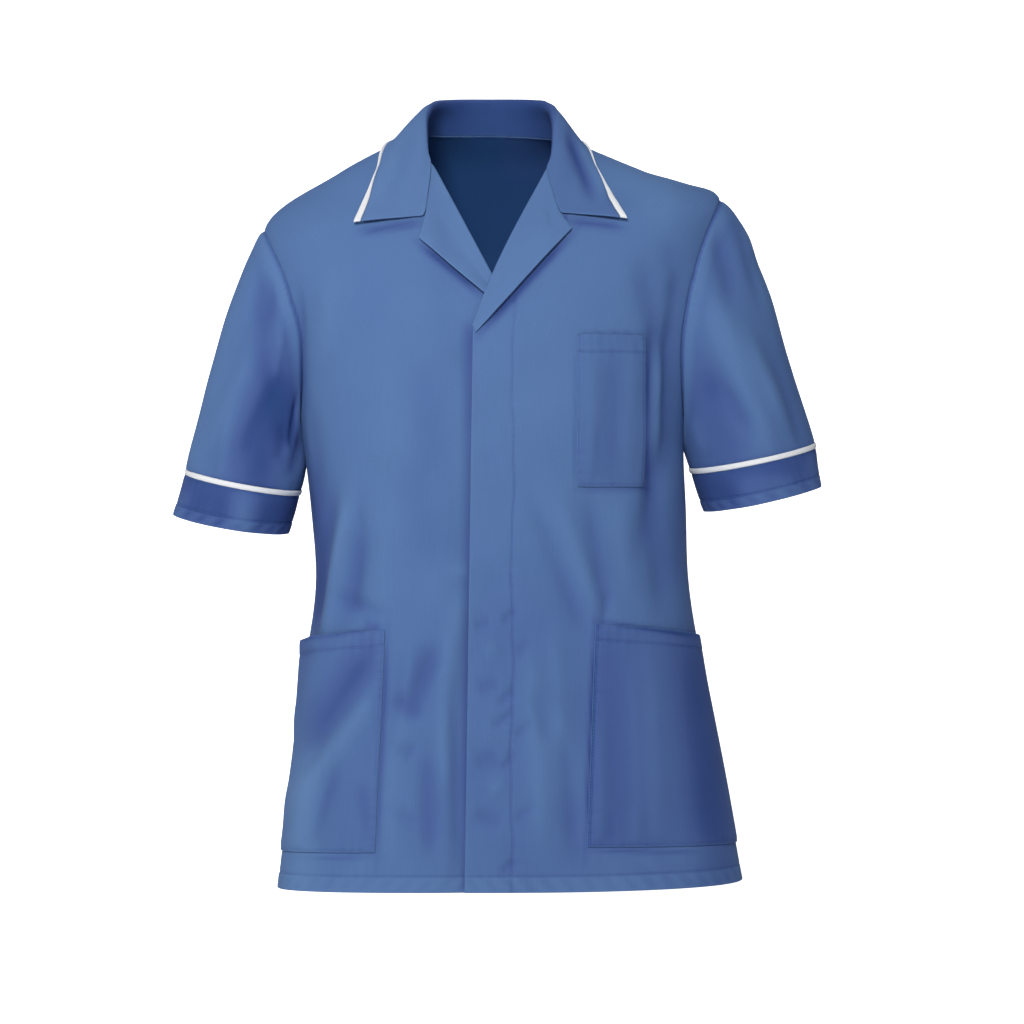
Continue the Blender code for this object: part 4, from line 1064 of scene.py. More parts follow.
def sample(grid, row, column):
    """Values of a grid at fractions of its rows and columns, blended from the four round each."""
    i = np.clip(np.floor(row).astype(int), 0, grid.shape[0] - 2)
    j = np.clip(np.floor(column).astype(int), 0, grid.shape[1] - 2)
    a, b = (row - i)[..., None], (column - j)[..., None]
    low = grid[i, j] * (1 - b) + grid[i, j + 1] * b
    high = grid[i + 1, j] * (1 - b) + grid[i + 1, j + 1] * b
    return low * (1 - a) + high * a


def crossing(values, target):
    """Fraction of a column at which each row of rising values passes its target."""
    j = np.clip((values < target[:, None]).sum(axis=1) - 1, 0, values.shape[1] - 2)
    rows = np.arange(len(values))
    low, high = values[rows, j], values[rows, j + 1]
    return j + np.clip((target - low) / np.maximum(high - low, 1e-9), 0, 1)


def thread_line(grid, normals, row, column):
    """Path and outward directions of a line of stitches at fractions of a grid's rows and columns."""
    return sample(grid, row, column), unit(sample(normals, row, column))


def make_stitching(name, lines):
    """Short threads along lines on the cloth: each a closed bead of four-cornered rings, lying along its
    line."""
    centres, alongs, aways = [], [], []
    for path, away in lines:
        run = np.r_[0, np.cumsum(np.linalg.norm(np.diff(path, axis=0), axis=1))]
        count = int(run[-1] // STITCH_PITCH)
        at = (np.arange(count) + 0.5) * run[-1] / count
        spots = ((path, at), (path, at + STITCH_PITCH / 4), (path, at - STITCH_PITCH / 4), (away, at))
        centre, front, back, out = (
            np.stack([np.interp(spot, run, line[:, k]) for k in range(3)], axis=-1) for line, spot in spots
        )
        centres.append(centre)
        alongs.append(unit(front - back))
        aways.append(unit(out))
    centre, along, away = (np.concatenate(part) for part in (centres, alongs, aways))
    beside = unit(np.cross(along, away))
    away = np.cross(beside, along)
    stations = np.array([(-0.5, 0.25), (-0.34, 0.9), (0.34, 0.9), (0.5, 0.25)])
    corners = np.radians([45, 135, 225, 315])
    rings = (
        centre[:, None, None]
        + along[:, None, None] * (stations[:, 0] * STITCH_LENGTH)[None, :, None, None]
        + beside[:, None, None] * (stations[:, 1, None] * np.cos(corners) * STITCH_RADIUS)[None, ..., None]
        + away[:, None, None] * (stations[:, 1, None] * np.sin(corners) * STITCH_RADIUS)[None, ..., None]
        + away[:, None, None] * STITCH_RADIUS * 0.35
    )
    k, c = np.meshgrid(np.arange(3), np.arange(4), indexing="ij")
    nxt = (c + 1) % 4
    quads = np.stack([k * 4 + c, k * 4 + nxt, (k + 1) * 4 + nxt, (k + 1) * 4 + c], axis=-1).reshape(-1, 4)
    quads = np.concatenate([quads, [[3, 2, 1, 0], [12, 13, 14, 15]]])
    faces = (np.arange(len(centre))[:, None, None] * 16 + quads[None]).reshape(-1, 4)
    points = rings.reshape(-1, 3)
    a, b, c = (points[faces[:14, i]] for i in range(3))
    inside = rings[0].reshape(-1, 3).mean(axis=0)
    if np.einsum("ij,ij->", a - inside, np.cross(b - inside, c - inside)) < 0:
        faces = faces[:, ::-1]
    piece = link_mesh(name, points, faces, thread_material())
    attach(piece, "root")


def socket(group, name, way, kind="NodeSocketFloat", default=None):
    """Adds a named input or output to a node group."""
    made = group.interface.new_socket(name=name, in_out=way, socket_type=kind)
    if default is not None:
        made.default_value = default


class Wiring:
    """Makes and joins the nodes of one tree. What goes into a node is a socket or a value."""

    def __init__(self, tree):
        self.nodes, self.links = tree.nodes, tree.links

    def feed(self, value, target):
        """Joins a socket to an input, or sets the input's value."""
        if isinstance(value, (int, float, tuple)):
            target.default_value = value
        else:
            self.links.new(value, target)

    def make(self, kind, **inputs):
        """A node with values or sockets on its named inputs, whose spaces are written as underscores."""
        node = self.nodes.new(kind)
        for name, value in inputs.items():
            self.feed(value, node.inputs[name.replace("_", " ")])
        return node

    def math(self, operation, first, second=None):
        """What a math node gives."""
        node = self.nodes.new("ShaderNodeMath")
        node.operation = operation
        self.feed(first, node.inputs[0])
        if second is not None:
            self.feed(second, node.inputs[1])
        return node.outputs[0]

    def times(self, first, second):
        """Product of two inputs."""
        return self.math("MULTIPLY", first, second)

    def plus(self, first, second):
        """Sum of two inputs."""
        return self.math("ADD", first, second)

    def less(self, first, second):
        """Difference of two inputs."""
        return self.math("SUBTRACT", first, second)

    def held(self, value, most):
        """A value kept between 0 and the most it may be."""
        return self.math("MINIMUM", self.math("MAXIMUM", value, 0.0), most)

    def mix(self, share, first, second):
        """What a colour mix node gives."""
        node = self.nodes.new("ShaderNodeMix")
        node.data_type = "RGBA"
        for key, value in ((0, share), (6, first), (7, second)):
            self.feed(value, node.inputs[key])
        return node.outputs[2]

    def noise(self, vector, scale, detail, stretch=None):
        """Noise from -1 to 1, its coordinates stretched if asked."""
        if stretch:
            vector = self.make("ShaderNodeMapping", Scale=stretch, Vector=vector).outputs[0]
        noise = self.make("ShaderNodeTexNoise", Scale=scale, Detail=detail, Vector=vector)
        return self.less(self.times(noise.outputs[0], 2.0), 1.0)


def new_group(name):
    """An empty shader node group with its ends, or None and the group if it is already made."""
    if name in bpy.data.node_groups:
        return bpy.data.node_groups[name], None, None
    group = bpy.data.node_groups.new(name, "ShaderNodeTree")
    return group, group.nodes.new("NodeGroupInput"), group.nodes.new("NodeGroupOutput")


def weave_group():
    """Twill weave from cloth coordinates in metres: slanting ribs crossed by finer yarns, both sines,
    made uneven by noise. Gives a height and a shade from 0 to 1."""
    group, start, end = new_group("Twill weave")
    if start is None:
        return group
    socket(group, "Cloth", "INPUT", "NodeSocketVector")
    for name, usual in (("Rib", 0.0009), ("Slant", 1.1), ("Unevenness", 0.8)):
        socket(group, name, "INPUT", default=usual)
    for name in ("Height", "Shade"):
        socket(group, name, "OUTPUT")
    wiring, given = Wiring(group), start.outputs
    x, y, _ = wiring.make("ShaderNodeSeparateXYZ", Vector=given["Cloth"]).outputs
    turn_cos, turn_sin = wiring.math("COSINE", given["Slant"]), wiring.math("SINE", given["Slant"])
    across = wiring.plus(wiring.times(x, turn_cos), wiring.times(y, turn_sin))
    along = wiring.less(wiring.times(y, turn_cos), wiring.times(x, turn_sin))
    uneven = wiring.times(wiring.noise(given["Cloth"], UNEVEN_SCALE, 2.0), given["Unevenness"])
    waves = []
    for place, turn in ((across, 2 * np.pi), (along, 2.6 * np.pi)):
        phase = wiring.times(wiring.math("DIVIDE", place, given["Rib"]), turn)
        waves.append(wiring.math("SINE", wiring.plus(phase, uneven)))
    pattern = wiring.plus(waves[0], wiring.times(waves[1], YARN_SHARE))
    height = wiring.plus(wiring.times(pattern, WEAVE_HALF), 0.5)
    fibre = wiring.noise(given["Cloth"], FIBRE_SCALE, 2.0, FIBRE_STRETCH)
    wiring.feed(height, end.inputs["Height"])
    wiring.feed(wiring.plus(height, wiring.times(fibre, FIBRE_SHARE)), end.inputs["Shade"])
    return group


def tone_group():
    """Colour of worn cloth: its dye with painted shade in troughs, painted shadow where the shading is lowest
    and painted highlight on ridges, paler on worn folded edges, with slow mottling, slubs along the warp and
    the weave's shade."""
    group, start, end = new_group("Cloth tone")
    if start is None:
        return group
    socket(group, "Cloth", "INPUT", "NodeSocketVector")
    for name in ("Dye", "Shaded", "Inside", "Worn"):
        socket(group, name, "INPUT", "NodeSocketColor")
    for name in ("Relief", "Edge", "Shade"):
        socket(group, name, "INPUT")
    socket(group, "Colour", "OUTPUT", "NodeSocketColor")
    socket(group, "Wear", "OUTPUT")
    wiring, given = Wiring(group), start.outputs
    shading, cloth_at = given["Relief"], given["Cloth"]
    # Painted shade in troughs, painted shadow where the shading is lowest, painted highlight on ridges
    shade_share = wiring.held(wiring.times(shading, TROUGH_SHADE_RATE), TROUGH_SHADE_MOST)
    shadow_share = wiring.held(wiring.times(wiring.plus(shading, SHADOW_FROM), SHADOW_RATE), 1.0)
    highlight_share = wiring.held(wiring.times(shading, HIGHLIGHT_RATE), HIGHLIGHT_MOST)
    dyed = given["Dye"]
    for share, name in ((shade_share, "Shaded"), (shadow_share, "Inside"), (highlight_share, "Worn")):
        dyed = wiring.mix(share, dyed, given[name])
    near = wiring.math("POWER", 2.718, wiring.times(wiring.math("DIVIDE", given["Edge"], WEAR_REACH), -1.0))
    patchy = wiring.plus(wiring.times(wiring.noise(cloth_at, PATCH_SCALE, 3.0), 0.8), 0.5)
    wear = wiring.times(near, patchy)
    wear.node.use_clamp = True
    dyed = wiring.mix(wiring.times(wear, WEAR_SHARE), dyed, given["Worn"])
    mottle = wiring.times(wiring.noise(cloth_at, MOTTLE_SCALE, 3.0), MOTTLE_SHARE)
    slub = wiring.times(wiring.noise(cloth_at, 1.0, 2.0, SLUB_STRETCH), SLUB_SHARE)
    weave = wiring.times(wiring.less(given["Shade"], 0.5), WEAVE_SHARE)
    value = wiring.plus(wiring.plus(mottle, slub), weave)
    scaled = wiring.nodes.new("ShaderNodeVectorMath")
    scaled.operation = "SCALE"
    wiring.feed(dyed, scaled.inputs[0])
    wiring.feed(wiring.plus(value, 1.0), scaled.inputs["Scale"])
    wiring.feed(scaled.outputs[0], end.inputs["Colour"])
    wiring.feed(wear, end.inputs["Wear"])
    return group


def new_material(name, **inputs):
    """A new material with its wiring, and its shader with values on its named inputs."""
    material = bpy.data.materials.new(name)
    material.use_nodes = True
    wiring = Wiring(material.node_tree)
    shader = wiring.nodes["Principled BSDF"]
    for key, value in inputs.items():
        wiring.feed(value, shader.inputs[key.replace("_", " ")])
    return material, wiring, shader


def cloth_like_material(name, dye, shaded, inside, worn, rib, slant, roughness, sheen, depth):
    """Woven cloth: the weave and tone groups read the piece's pattern coordinates, shading and edge. The
    shaded and inside colours are painted shade and painted shadow; the worn colour is both wear and painted
    highlight.
    """
    if name in bpy.data.materials:
        return bpy.data.materials[name]
    sheen_inputs = {"Sheen_Weight": sheen, "Sheen_Roughness": 0.45, "Sheen_Tint": (*worn, 1.0)}
    material, wiring, shader = new_material(name, Metallic=0.0, Specular_IOR_Level=0.25, **sheen_inputs)
    where = wiring.nodes.new("ShaderNodeUVMap")
    where.uv_map = "cloth"
    read = {}
    for key in ("shading", "edge"):
        node = wiring.nodes.new("ShaderNodeAttribute")
        node.attribute_name = key
        read[key] = node.outputs["Fac"]
    weave, tone = wiring.nodes.new("ShaderNodeGroup"), wiring.nodes.new("ShaderNodeGroup")
    weave.node_tree, tone.node_tree = weave_group(), tone_group()
    for node in (weave, tone):
        wiring.feed(where.outputs[0], node.inputs["Cloth"])
    wiring.feed(rib, weave.inputs["Rib"])
    wiring.feed(slant, weave.inputs["Slant"])
    for key, shown in (("Dye", dye), ("Shaded", shaded), ("Inside", inside), ("Worn", worn)):
        wiring.feed((*shown, 1.0), tone.inputs[key])
    wiring.feed(read["shading"], tone.inputs["Relief"])
    wiring.feed(read["edge"], tone.inputs["Edge"])
    wiring.feed(weave.outputs["Shade"], tone.inputs["Shade"])
    wiring.feed(tone.outputs["Colour"], shader.inputs["Base Color"])
    rough = wiring.plus(wiring.times(weave.outputs["Height"], -0.08), roughness + 0.04)
    rough = wiring.less(rough, wiring.times(tone.outputs["Wear"], 0.06))
    wiring.feed(rough, shader.inputs["Roughness"])
    crumple = wiring.times(wiring.noise(where.outputs[0], CRUMPLE_SCALE, 4.0), 1.2)
    height = wiring.plus(weave.outputs["Height"], crumple)
    bump = wiring.make("ShaderNodeBump", Strength=0.6, Distance=depth, Height=height)
    wiring.feed(bump.outputs[0], shader.inputs["Normal"])
    return material


def twill_material():
    """Blue polyester and cotton twill."""
    chosen = bpy.context.scene.tunic_cloth
    colours = (tuple(part) for part in (chosen.twill, chosen.shaded, chosen.inside, chosen.worn))
    return cloth_like_material("twill_cloth", *colours, rib=chosen.rib, **TWILL_FEEL)


def piping_material():
    """White cotton piping, cut on the bias, with a little grey as its painted shade and shadow."""
    white = tuple(bpy.context.scene.tunic_cloth.piping)
    shaded_white = tuple(PIPING_SHADE_SHARE * part for part in white)
    return cloth_like_material("piping_cotton", white, shaded_white, shaded_white, white, **PIPING_FEEL)


def thread_material():
    """Spun sewing thread: fine slanting twist over its own colour."""
    if "sewing_thread" in bpy.data.materials:
        return bpy.data.materials["sewing_thread"]
    material, wiring, shader = new_material("sewing_thread")
    dyed = tuple(bpy.context.scene.tunic_cloth.thread)
    pale = tuple(min(1.0, THREAD_PALE * part) for part in dyed)
    where = wiring.nodes.new("ShaderNodeTexCoord").outputs["Object"]
    twist = wiring.noise(where, TWIST_SCALE, 2.0, (1.0, 1.0, 0.3))
    amount = wiring.plus(wiring.times(twist, 0.5), 0.5)
    wiring.feed(wiring.mix(amount, (*dyed, 1.0), (*pale, 1.0)), shader.inputs["Base Color"])
    wiring.feed(wiring.plus(wiring.times(twist, 0.08), 0.6), shader.inputs["Roughness"])
    bump = wiring.make("ShaderNodeBump", Strength=0.5, Distance=0.00005, Height=twist)
    wiring.feed(bump.outputs[0], shader.inputs["Normal"])
    return material


def seam_relief(distance, along, depth, width, height):
    """A sewn seam: a soft groove at the seam, and uneven puckers beside it."""
    return -depth * bell(distance, width) + pucker(along, distance, SEAM_REACH, height)


def stitch_relief(distance, along, depth=STITCH_DEPTH):
    """A line of stitches pulled into the cloth: a narrow groove with puckers to both sides."""
    return -depth * bell(distance, STITCH_GROOVE) + pucker(along, distance, STITCH_REACH, STITCH_PUCKER)


def hem_relief(height, along, stitch):
    """A turned-up hem: thicker below its line of stitches, and drawn into uneven slanting puckers."""
    turned = HEM_THICKER * ramp(height, stitch, -2.0)
    slant = np.sin(along * 0.33 + height * 0.25 + 1.2 * np.sin(along * 0.021))
    drawn = HEM_DRAWN * slant * smooth(height / 4) * ramp(height, stitch, -5.0)
    return turned + drawn + stitch_relief(height - stitch, along)


def placket_x(z):
    """Where the placket's line of stitches runs, a straight line with a slow waver."""
    x = np.interp(z, PLACKET_STITCH_Z[::-1], PLACKET_STITCH_X[::-1])
    return x + 1.1 * np.sin(z * 0.034) + 0.5 * np.sin(z * 0.11 + 1.0)


def cloth_wall():
    """Thickness of the body cloth in millimetres."""
    return bpy.context.scene.tunic_cloth.wall / MM


def trim_wall():
    """Thickness of the lapels, pockets and collar in millimetres."""
    return bpy.context.scene.tunic_cloth.trim_wall / MM


def make_panel(node, points, normals, folds, extra, shade):
    """A body panel: cloth points moved out by what is sewn into them. Gives its outer face."""
    outer = points + normals * extra[..., None]
    inner = outer - normals * cloth_wall()
    # Painted shade in the troughs of folds and stitches, painted light on their ridges, and the painted shade
    # given
    make_cloth(node, outer, inner, folds * FOLD_SHADING + extra * STITCH_SHADING + shade)
    return outer


def make_front(side):
    """A front: cloth points from its net, with its hem, seams and placket's stitches worked in."""
    net = front_net(side)
    points, normals, folds = cloth(net[..., 0], net[..., 1], side)
    x, y, z = np.moveaxis(points, -1, 0)
    u, v = arcs(points)
    extra = hem_relief(v, u, HEM_STITCH) + seam_relief(u[:, -1:] - u, v, **BODY_SEAM)
    extra += seam_relief(v[-1:] - v, u, **BODY_SEAM)
    # Painted shade and light from the front's table
    shade = lines_height(x, z, FRONT_SHADES)
    if side == "left":
        below = ramp(z, PLACKET_STITCH_Z[0], -PLACKET_STITCH_FADE)
        extra += stitch_relief(x - placket_x(z), z, PLACKET_STITCH_DEPTH) * below * (y < 0)
    else:
        # Painted shadow where the left front lies over the right
        shade += UNDER_EDGE_SHADOW * ramp(x, *UNDER_EDGE_X) * ramp(z, *UNDER_EDGE_TOP)
    outer = make_panel("front_" + side, points, normals, folds, extra, shade)
    lines = [hem_line(outer, normals)]
    if side == "left":
        rows = np.arange(2, len(LOWER_LEVELS) + CHEST_ROWS + PLACKET_ROWS_ABOVE)
        stitch_x = placket_x(outer[rows, PLACKET_COLUMN, 2])
        column = crossing(outer[rows, :PLACKET_COLUMNS, 0], stitch_x)
        lines.append(thread_line(outer, normals, rows.astype(float), column))
    make_stitching("stitching_front_" + side, lines)


def hem_line(grid, normals):
    """The line of stitches round a panel's hem, at the level of the stitch."""
    row = float(np.interp(HEM_STITCH, LOWER_LEVELS, np.arange(len(LOWER_LEVELS))))
    column = np.arange(1, grid.shape[1] - 1).astype(float)
    return thread_line(grid, normals, np.full(len(column), row), column)


def make_back():
    """The back: cloth points from its net, with the hem and seams worked in. Beside the side seams it
    takes on the fronts' painted shade and light, fading towards the back."""
    net = back_net()
    points, normals, folds = cloth(net[..., 0], net[..., 1])
    x, y, z = np.moveaxis(points, -1, 0)
    u, v = arcs(points)
    extra = hem_relief(v, u, HEM_STITCH)
    extra += seam_relief(u, v, **BODY_SEAM) + seam_relief(u[:, -1:] - u, v, **BODY_SEAM)
    extra += seam_relief(v[-1:] - v, u, **BODY_SEAM)
    shade = lines_height(x, z, FRONT_SHADES) * (1 - smooth(y / SHADE_REACH))
    outer = make_panel("back", points, normals, folds, extra, shade)
    make_stitching("stitching_back", [hem_line(outer, normals)])


def resample(keys, columns):
    """A smooth profile through each row's key points, its columns evenly spaced on average."""
    steps = np.linalg.norm(np.diff(keys, axis=1), axis=-1).mean(axis=0)
    run = np.r_[0, np.cumsum(steps)]
    at = np.linspace(0, run[-1], columns + 1)
    flat = np.moveaxis(keys, 1, 0).reshape(keys.shape[1], -1)
    fine = curve_through(run, flat, at).reshape(columns + 1, keys.shape[0], 3)
    return np.moveaxis(fine, 0, 1)


def part_at_gorge(grid, edge, inside, rolled):
    """Moves a grid's row at the gorge back along its columns, and further where the cloth rolls over."""
    gap = np.full(grid.shape[1], GORGE_GAP)
    gap[:rolled] = GORGE_ROLL_GAP
    grid[edge] += unit(grid[inside] - grid[edge]) * gap[:, None]


def make_lapel(side):
    """The turned-back facing: a small round at the roll line, then flat on the front to its edge."""
    wall = trim_wall()
    roll = line_in_front([BREAK[side], V_BOTTOM, ROLL_TOP[side]], LAPEL_ROWS)
    edge = line_in_front([LAPEL_FOOT[side], LAPEL_CORNER[side]], LAPEL_ROWS)
    across = np.linspace(0, 1, LAPEL_COLUMNS + 1)
    share = across[None, :, None]
    view = roll[:, None] * (1 - share) + edge[:, None] * share
    gorge = np.array([ROLL_TOP[side], GORGE_END[side], LAPEL_CORNER[side]])
    shares = (0.0, GORGE_RUN_SHARE, 1.0)
    top = np.stack([np.interp(across, shares, gorge[:, k]) for k in (0, 1)], axis=-1)
    up = np.linspace(0, 1, LAPEL_ROWS + 1)[:, None]
    view = view + (top - view[-1]) * up[..., None] ** GORGE_FADE_POWER
    angle, level = place_in_front(view[..., 0], view[..., 1])
    points, normals, _ = cloth(angle, level, side)
    opening = unit(points[:, 0] - points[:, 3])[:, None]
    spring = LAPEL_SPRING * ramp(up, 0.25, 0.4) * np.exp(-across[None] * LAPEL_SPRING_FADE)
    creases = lines_height(points[..., 0], points[..., 2], LAPEL_CREASES)
    free = ramp(across[None], 0.45, 0.55) * smooth(up / 0.2) * (1 - 0.5 * ramp(up, 0.8, 0.2))
    lift = LAPEL_LIFT + wall + spring + creases + LAPEL_EDGE_LIFT * free
    outer = points + normals * lift[..., None]
    inner = outer - normals * wall
    first_up = lift[:, :1, None]
    hook_outer = points[:, :1] + opening * LAPEL_HOOK
    hook_inner = hook_outer - opening * wall
    drop = normals[:, :1] * LAPEL_HOOK_DROP
    turn_outer = hook_outer + normals[:, :1] * (first_up - LAPEL_LIFT)
    turn_inner = hook_inner + normals[:, :1] * (first_up - wall - LAPEL_TURN_GAP)
    outer = np.concatenate([hook_outer - drop, turn_outer, outer], axis=1)
    inner = np.concatenate([hook_inner - drop, turn_inner, inner], axis=1)
    # Painted shade and light of its creases over painted light on the whole lapel
    shading = np.pad(creases, ((0, 0), (2, 0))) + LAPEL_LIGHTS[side]
    for face in (outer, inner):
        part_at_gorge(face, -1, -2, LAPEL_ROLLED)
    if side == "right":
        outer, inner, shading = outer[:, ::-1], inner[:, ::-1], shading[:, ::-1]
    make_cloth("lapel_" + side, outer, inner, shading)


def armhole_ring(side):
    """Points and outward directions round an armhole, from the armpit forwards over the tip and back."""
    net = np.concatenate([armhole(side, "front"), armhole(side, "back")[-2:0:-1]])
    points, normals, _ = cloth(net[:, 0], net[:, 1])
    return points, normals


def cuff_point(side, turn, down):
    """A point of the cuff: an oval at its top and one at its hem, and straight between them."""
    top, hem = SLEEVE_RINGS[side]
    x, y, z, half_x, half_z, depth, front_drop = (a + (b - a) * down for a, b in zip(top, hem))
    c, s = np.cos(turn), np.sin(turn)
    place = np.broadcast_arrays(x + half_x * c, y - depth * s, z + half_z * c + front_drop * s)
    return np.stack(place, axis=-1)


def cuff_height(side):
    """Distance between the middles of the cuff's two ovals."""
    top, hem = SLEEVE_RINGS[side]
    return np.linalg.norm(hem[:3] - top[:3])


def ring_normals(grid):
    """Outward directions of a grid whose rows are closed rings."""
    normals = grid_normals(grid, tube=True)
    away = grid - grid.mean(axis=1, keepdims=True)
    return normals * np.sign((normals * away).sum())


def sleeve_leaving(side):
    """How a sleeve's lines leave the armhole: outwards over the tip, forwards in front, down below."""
    phase = np.linspace(-np.pi / 2, 1.5 * np.pi, 2 * UPPER_ROWS + 1)[:-1]
    up, forward = np.sin(phase), np.cos(phase)
    over, beside, under = np.maximum(up, 0) ** 2, forward**2, np.maximum(-up, 0) ** 2
    way = np.stack(
        [
            SIDES[side] * (0.75 * over + 0.80 * beside - 0.35 * under),
            -0.30 * beside * np.sign(forward),
            -(0.66 * over + 0.52 * beside + 1.0 * under),
        ],
        axis=-1,
    )
    reach = TOP_REACH[side] * over + SIDE_REACH * beside + BOTTOM_REACH * under
    return unit(way) * reach[:, None]


def sleeve_height(turns, down, lines):
    """Folds by the way round and down the sleeve: a bell across each line, faded at both ends."""
    around = turns / (2 * np.pi)
    total = np.zeros(np.broadcast(around, down).shape)
    for round0, down0, round1, down1, width, height in lines:
        t = (down - down0) / (down1 - down0)
        off = np.abs(around - (round0 + (round1 - round0) * t))
        off = np.minimum(off, 1 - off)
        total = total + height * bell(off, width) * smooth(t / SLEEVE_FADE) * smooth((1 - t) / SLEEVE_FADE)
    return total


def make_sleeve(side):
    """A sleeve: lines that leave the armhole and bend down to the ring at the top of the cuff, each a
    cubic from its two ends and directions."""
    start, start_normals = armhole_ring(side)
    end = cuff_point(side, SLEEVE_TURNS, 0.0)
    leave = sleeve_leaving(side)
    arrive = unit(np.array(SLEEVE_LEAN[side])) * CUFF_REACH
    share = graded(1.0, 1.0 / SLEEVE_STEPS, (0.0,), fine=0.45, reach=0.04)
    t = share[:, None, None]
    grid = (
        (1 + 2 * t) * (1 - t) ** 2 * start
        + t * (1 - t) ** 2 * leave
        + t * t * (3 - 2 * t) * end
        + t * t * (t - 1) * arrive
    )
    normals = ring_normals(grid)
    agree = smooth((normals[0] * start_normals).sum(-1) / 0.5)[:, None]
    normals[0] = unit(normals[0] * (1 - agree) + start_normals * agree)
    turn, down = SLEEVE_TURNS[None], share[:, None]
    folds = sleeve_height(turn, down, SLEEVE_FOLDS) + sleeve_height(turn, down, SLEEVE_CREASES[side])
    u, v = arcs(grid)
    waves = ripple(60 * np.cos(turn) + v * 0.4, v) * smooth(v / 30) * smooth((v[-1:] - v) / 30)
    extra = seam_relief(v, u, **ARMHOLE_SEAM) + SLEEVE_WELT * smooth(v / 5) * ramp(v, *SLEEVE_WELT_END)
    extra += seam_relief(v[-1:] - v, u, **CUFF_SEAM)
    extra -= UNDERARM_DEPTH * bell(np.minimum(u, u[:, -1:] - u), UNDERARM_WIDTH)
    grid = grid + normals * (folds + waves + extra)[..., None]
    grid[0] -= unit(leave) * SLEEVE_TUCK + start_normals * SLEEVE_SINK
    # Painted shade on parts of the sleeve and over all of it, with the painted shade and light of its folds
    # and seams
    shade = sleeve_height(turn, down, SLEEVE_SHADES[side]) + SLEEVE_PIECE_SHADES[side]
    shading = (folds + waves) * FOLD_SHADING + extra * STITCH_SHADING + shade
    make_cloth("sleeve_" + side, grid, grid - normals * cloth_wall(), shading, tube=True)


def make_cuff(side):
    """The cuff below the sleeve: straight between two ovals, with its turned hem and slow waves."""
    turn = SLEEVE_TURNS[None]
    height = cuff_height(side)
    length = height - CUFF_PIPING_HEIGHT
    split = CUFF_PIPING_HEIGHT / height
    down = graded(length, CUFF_STEP, (0.0, length - CUFF_STITCH, length))[:, None]
    grid = cuff_point(side, turn, split + (1 - split) * down / length)
    normals = ring_normals(grid)
    u, v = arcs(grid)
    waves = sum(
        high * np.sin(turn * count + phase) * smooth(v / fade) for high, count, phase, fade in CUFF_WAVES
    )
    extra = seam_relief(v, u, **CUFF_SEAM) + hem_relief(v[-1:] - v, u, CUFF_STITCH)
    grid = grid + normals * (waves + extra)[..., None]
    # Painted light on parts of the cuff over painted shade on all of it, with the painted shade and light of
    # its waves and stitches
    lights = sleeve_height(turn, down / length, CUFF_LIGHTS[side])
    shading = waves * 0.5 + extra * STITCH_SHADING + CUFF_SHADES[side] + lights
    make_cloth("cuff_" + side, grid, grid - normals * cloth_wall(), shading, tube=True)
    row = np.interp(length - CUFF_STITCH, down[:, 0], np.arange(len(down)))
    column = np.arange(grid.shape[1] - 1).astype(float)
    make_stitching("stitching_cuff_" + side, [thread_line(grid, normals, np.full(len(column), row), column)])


def make_cuff_piping(side):
    """The piping between sleeve and cuff: a low dome across its width, round the top of the cuff."""
    split = CUFF_PIPING_HEIGHT / cuff_height(side)
    share = np.linspace(0, 1, PIPING_COLUMNS)[:, None]
    grid = cuff_point(side, SLEEVE_TURNS[None], split * share)
    normals = ring_normals(grid)
    u, _ = arcs(grid)
    dome = piping_dome(CUFF_PIPING_DOME, 2 * share - 1, u)
    inner = grid - normals * CUFF_PIPING_SINK
    outer = grid + normals * dome[..., None]
    # Painted shade at the piping's edges and painted light on the top of its dome
    make_cloth("cuff_piping_" + side, outer, inner, dome - 0.6, tube=True)


def piping_dome(height, across, along):
    """Height of a piping over its strip: a half oval from -1 to 1 across it, with small ripples."""
    return height * np.sqrt(np.clip(1 - across**2, 0, 1)) + pucker(along, 0 * along, 1.0, PIPING_PUCKER)


def collar_half_neck(side):
    """(angle, level) round half the neck, from the gorge to the middle of the back."""
    front = between(front_neck(side), NECK_ROWS)
    back = np.linspace(np.pi / 2, np.pi, BACK_NECK_COLUMNS // 2 + 1)[1:]
    back = np.stack([SIDES[side] * back, np.full(len(back), NECK_LEVEL)], axis=-1)
    return np.concatenate([front, back])


def collar_fall_net(side, neck, share, falls):
    """(angle, level) below each point of the collar's fall: from the neck, round the gorge's bend near
    the front end, to the outer edge."""
    ahead = along_in_front([COLLAR_POINT[side], COLLAR_EDGE_TOP[side]], COLLAR_EDGE_STEPS)
    behind = COLLAR_EDGE[side][:, 1:] * (SIDES[side] * np.pi / 180, 1.0)
    shares = np.r_[np.linspace(0, COLLAR_EDGE_SHARE, COLLAR_EDGE_STEPS + 1), COLLAR_EDGE[side][:, 0]]
    edge = curve_through(shares, np.concatenate([ahead, behind]), share)
    corners = np.array([ROLL_TOP[side], GORGE_END[side], COLLAR_POINT[side]])
    fine = np.linspace(0, 1, 61)
    view = np.stack([np.interp(fine, (0.0, GORGE_SHARE, 1.0), corners[:, k]) for k in (0, 1)])
    end = np.stack(place_in_front(view[0], view[1]), axis=-1)
    bend = end - (end[0] + (end[-1] - end[0]) * fine[:, None])
    bends = np.stack([np.interp(falls, fine, bend[:, k]) for k in (0, 1)], axis=-1)
    fade = 1 - smooth(share / GORGE_FADE)
    straight = neck[:, None] + (edge - neck)[:, None] * falls[..., None]
    return straight + bends * fade[:, None, None]


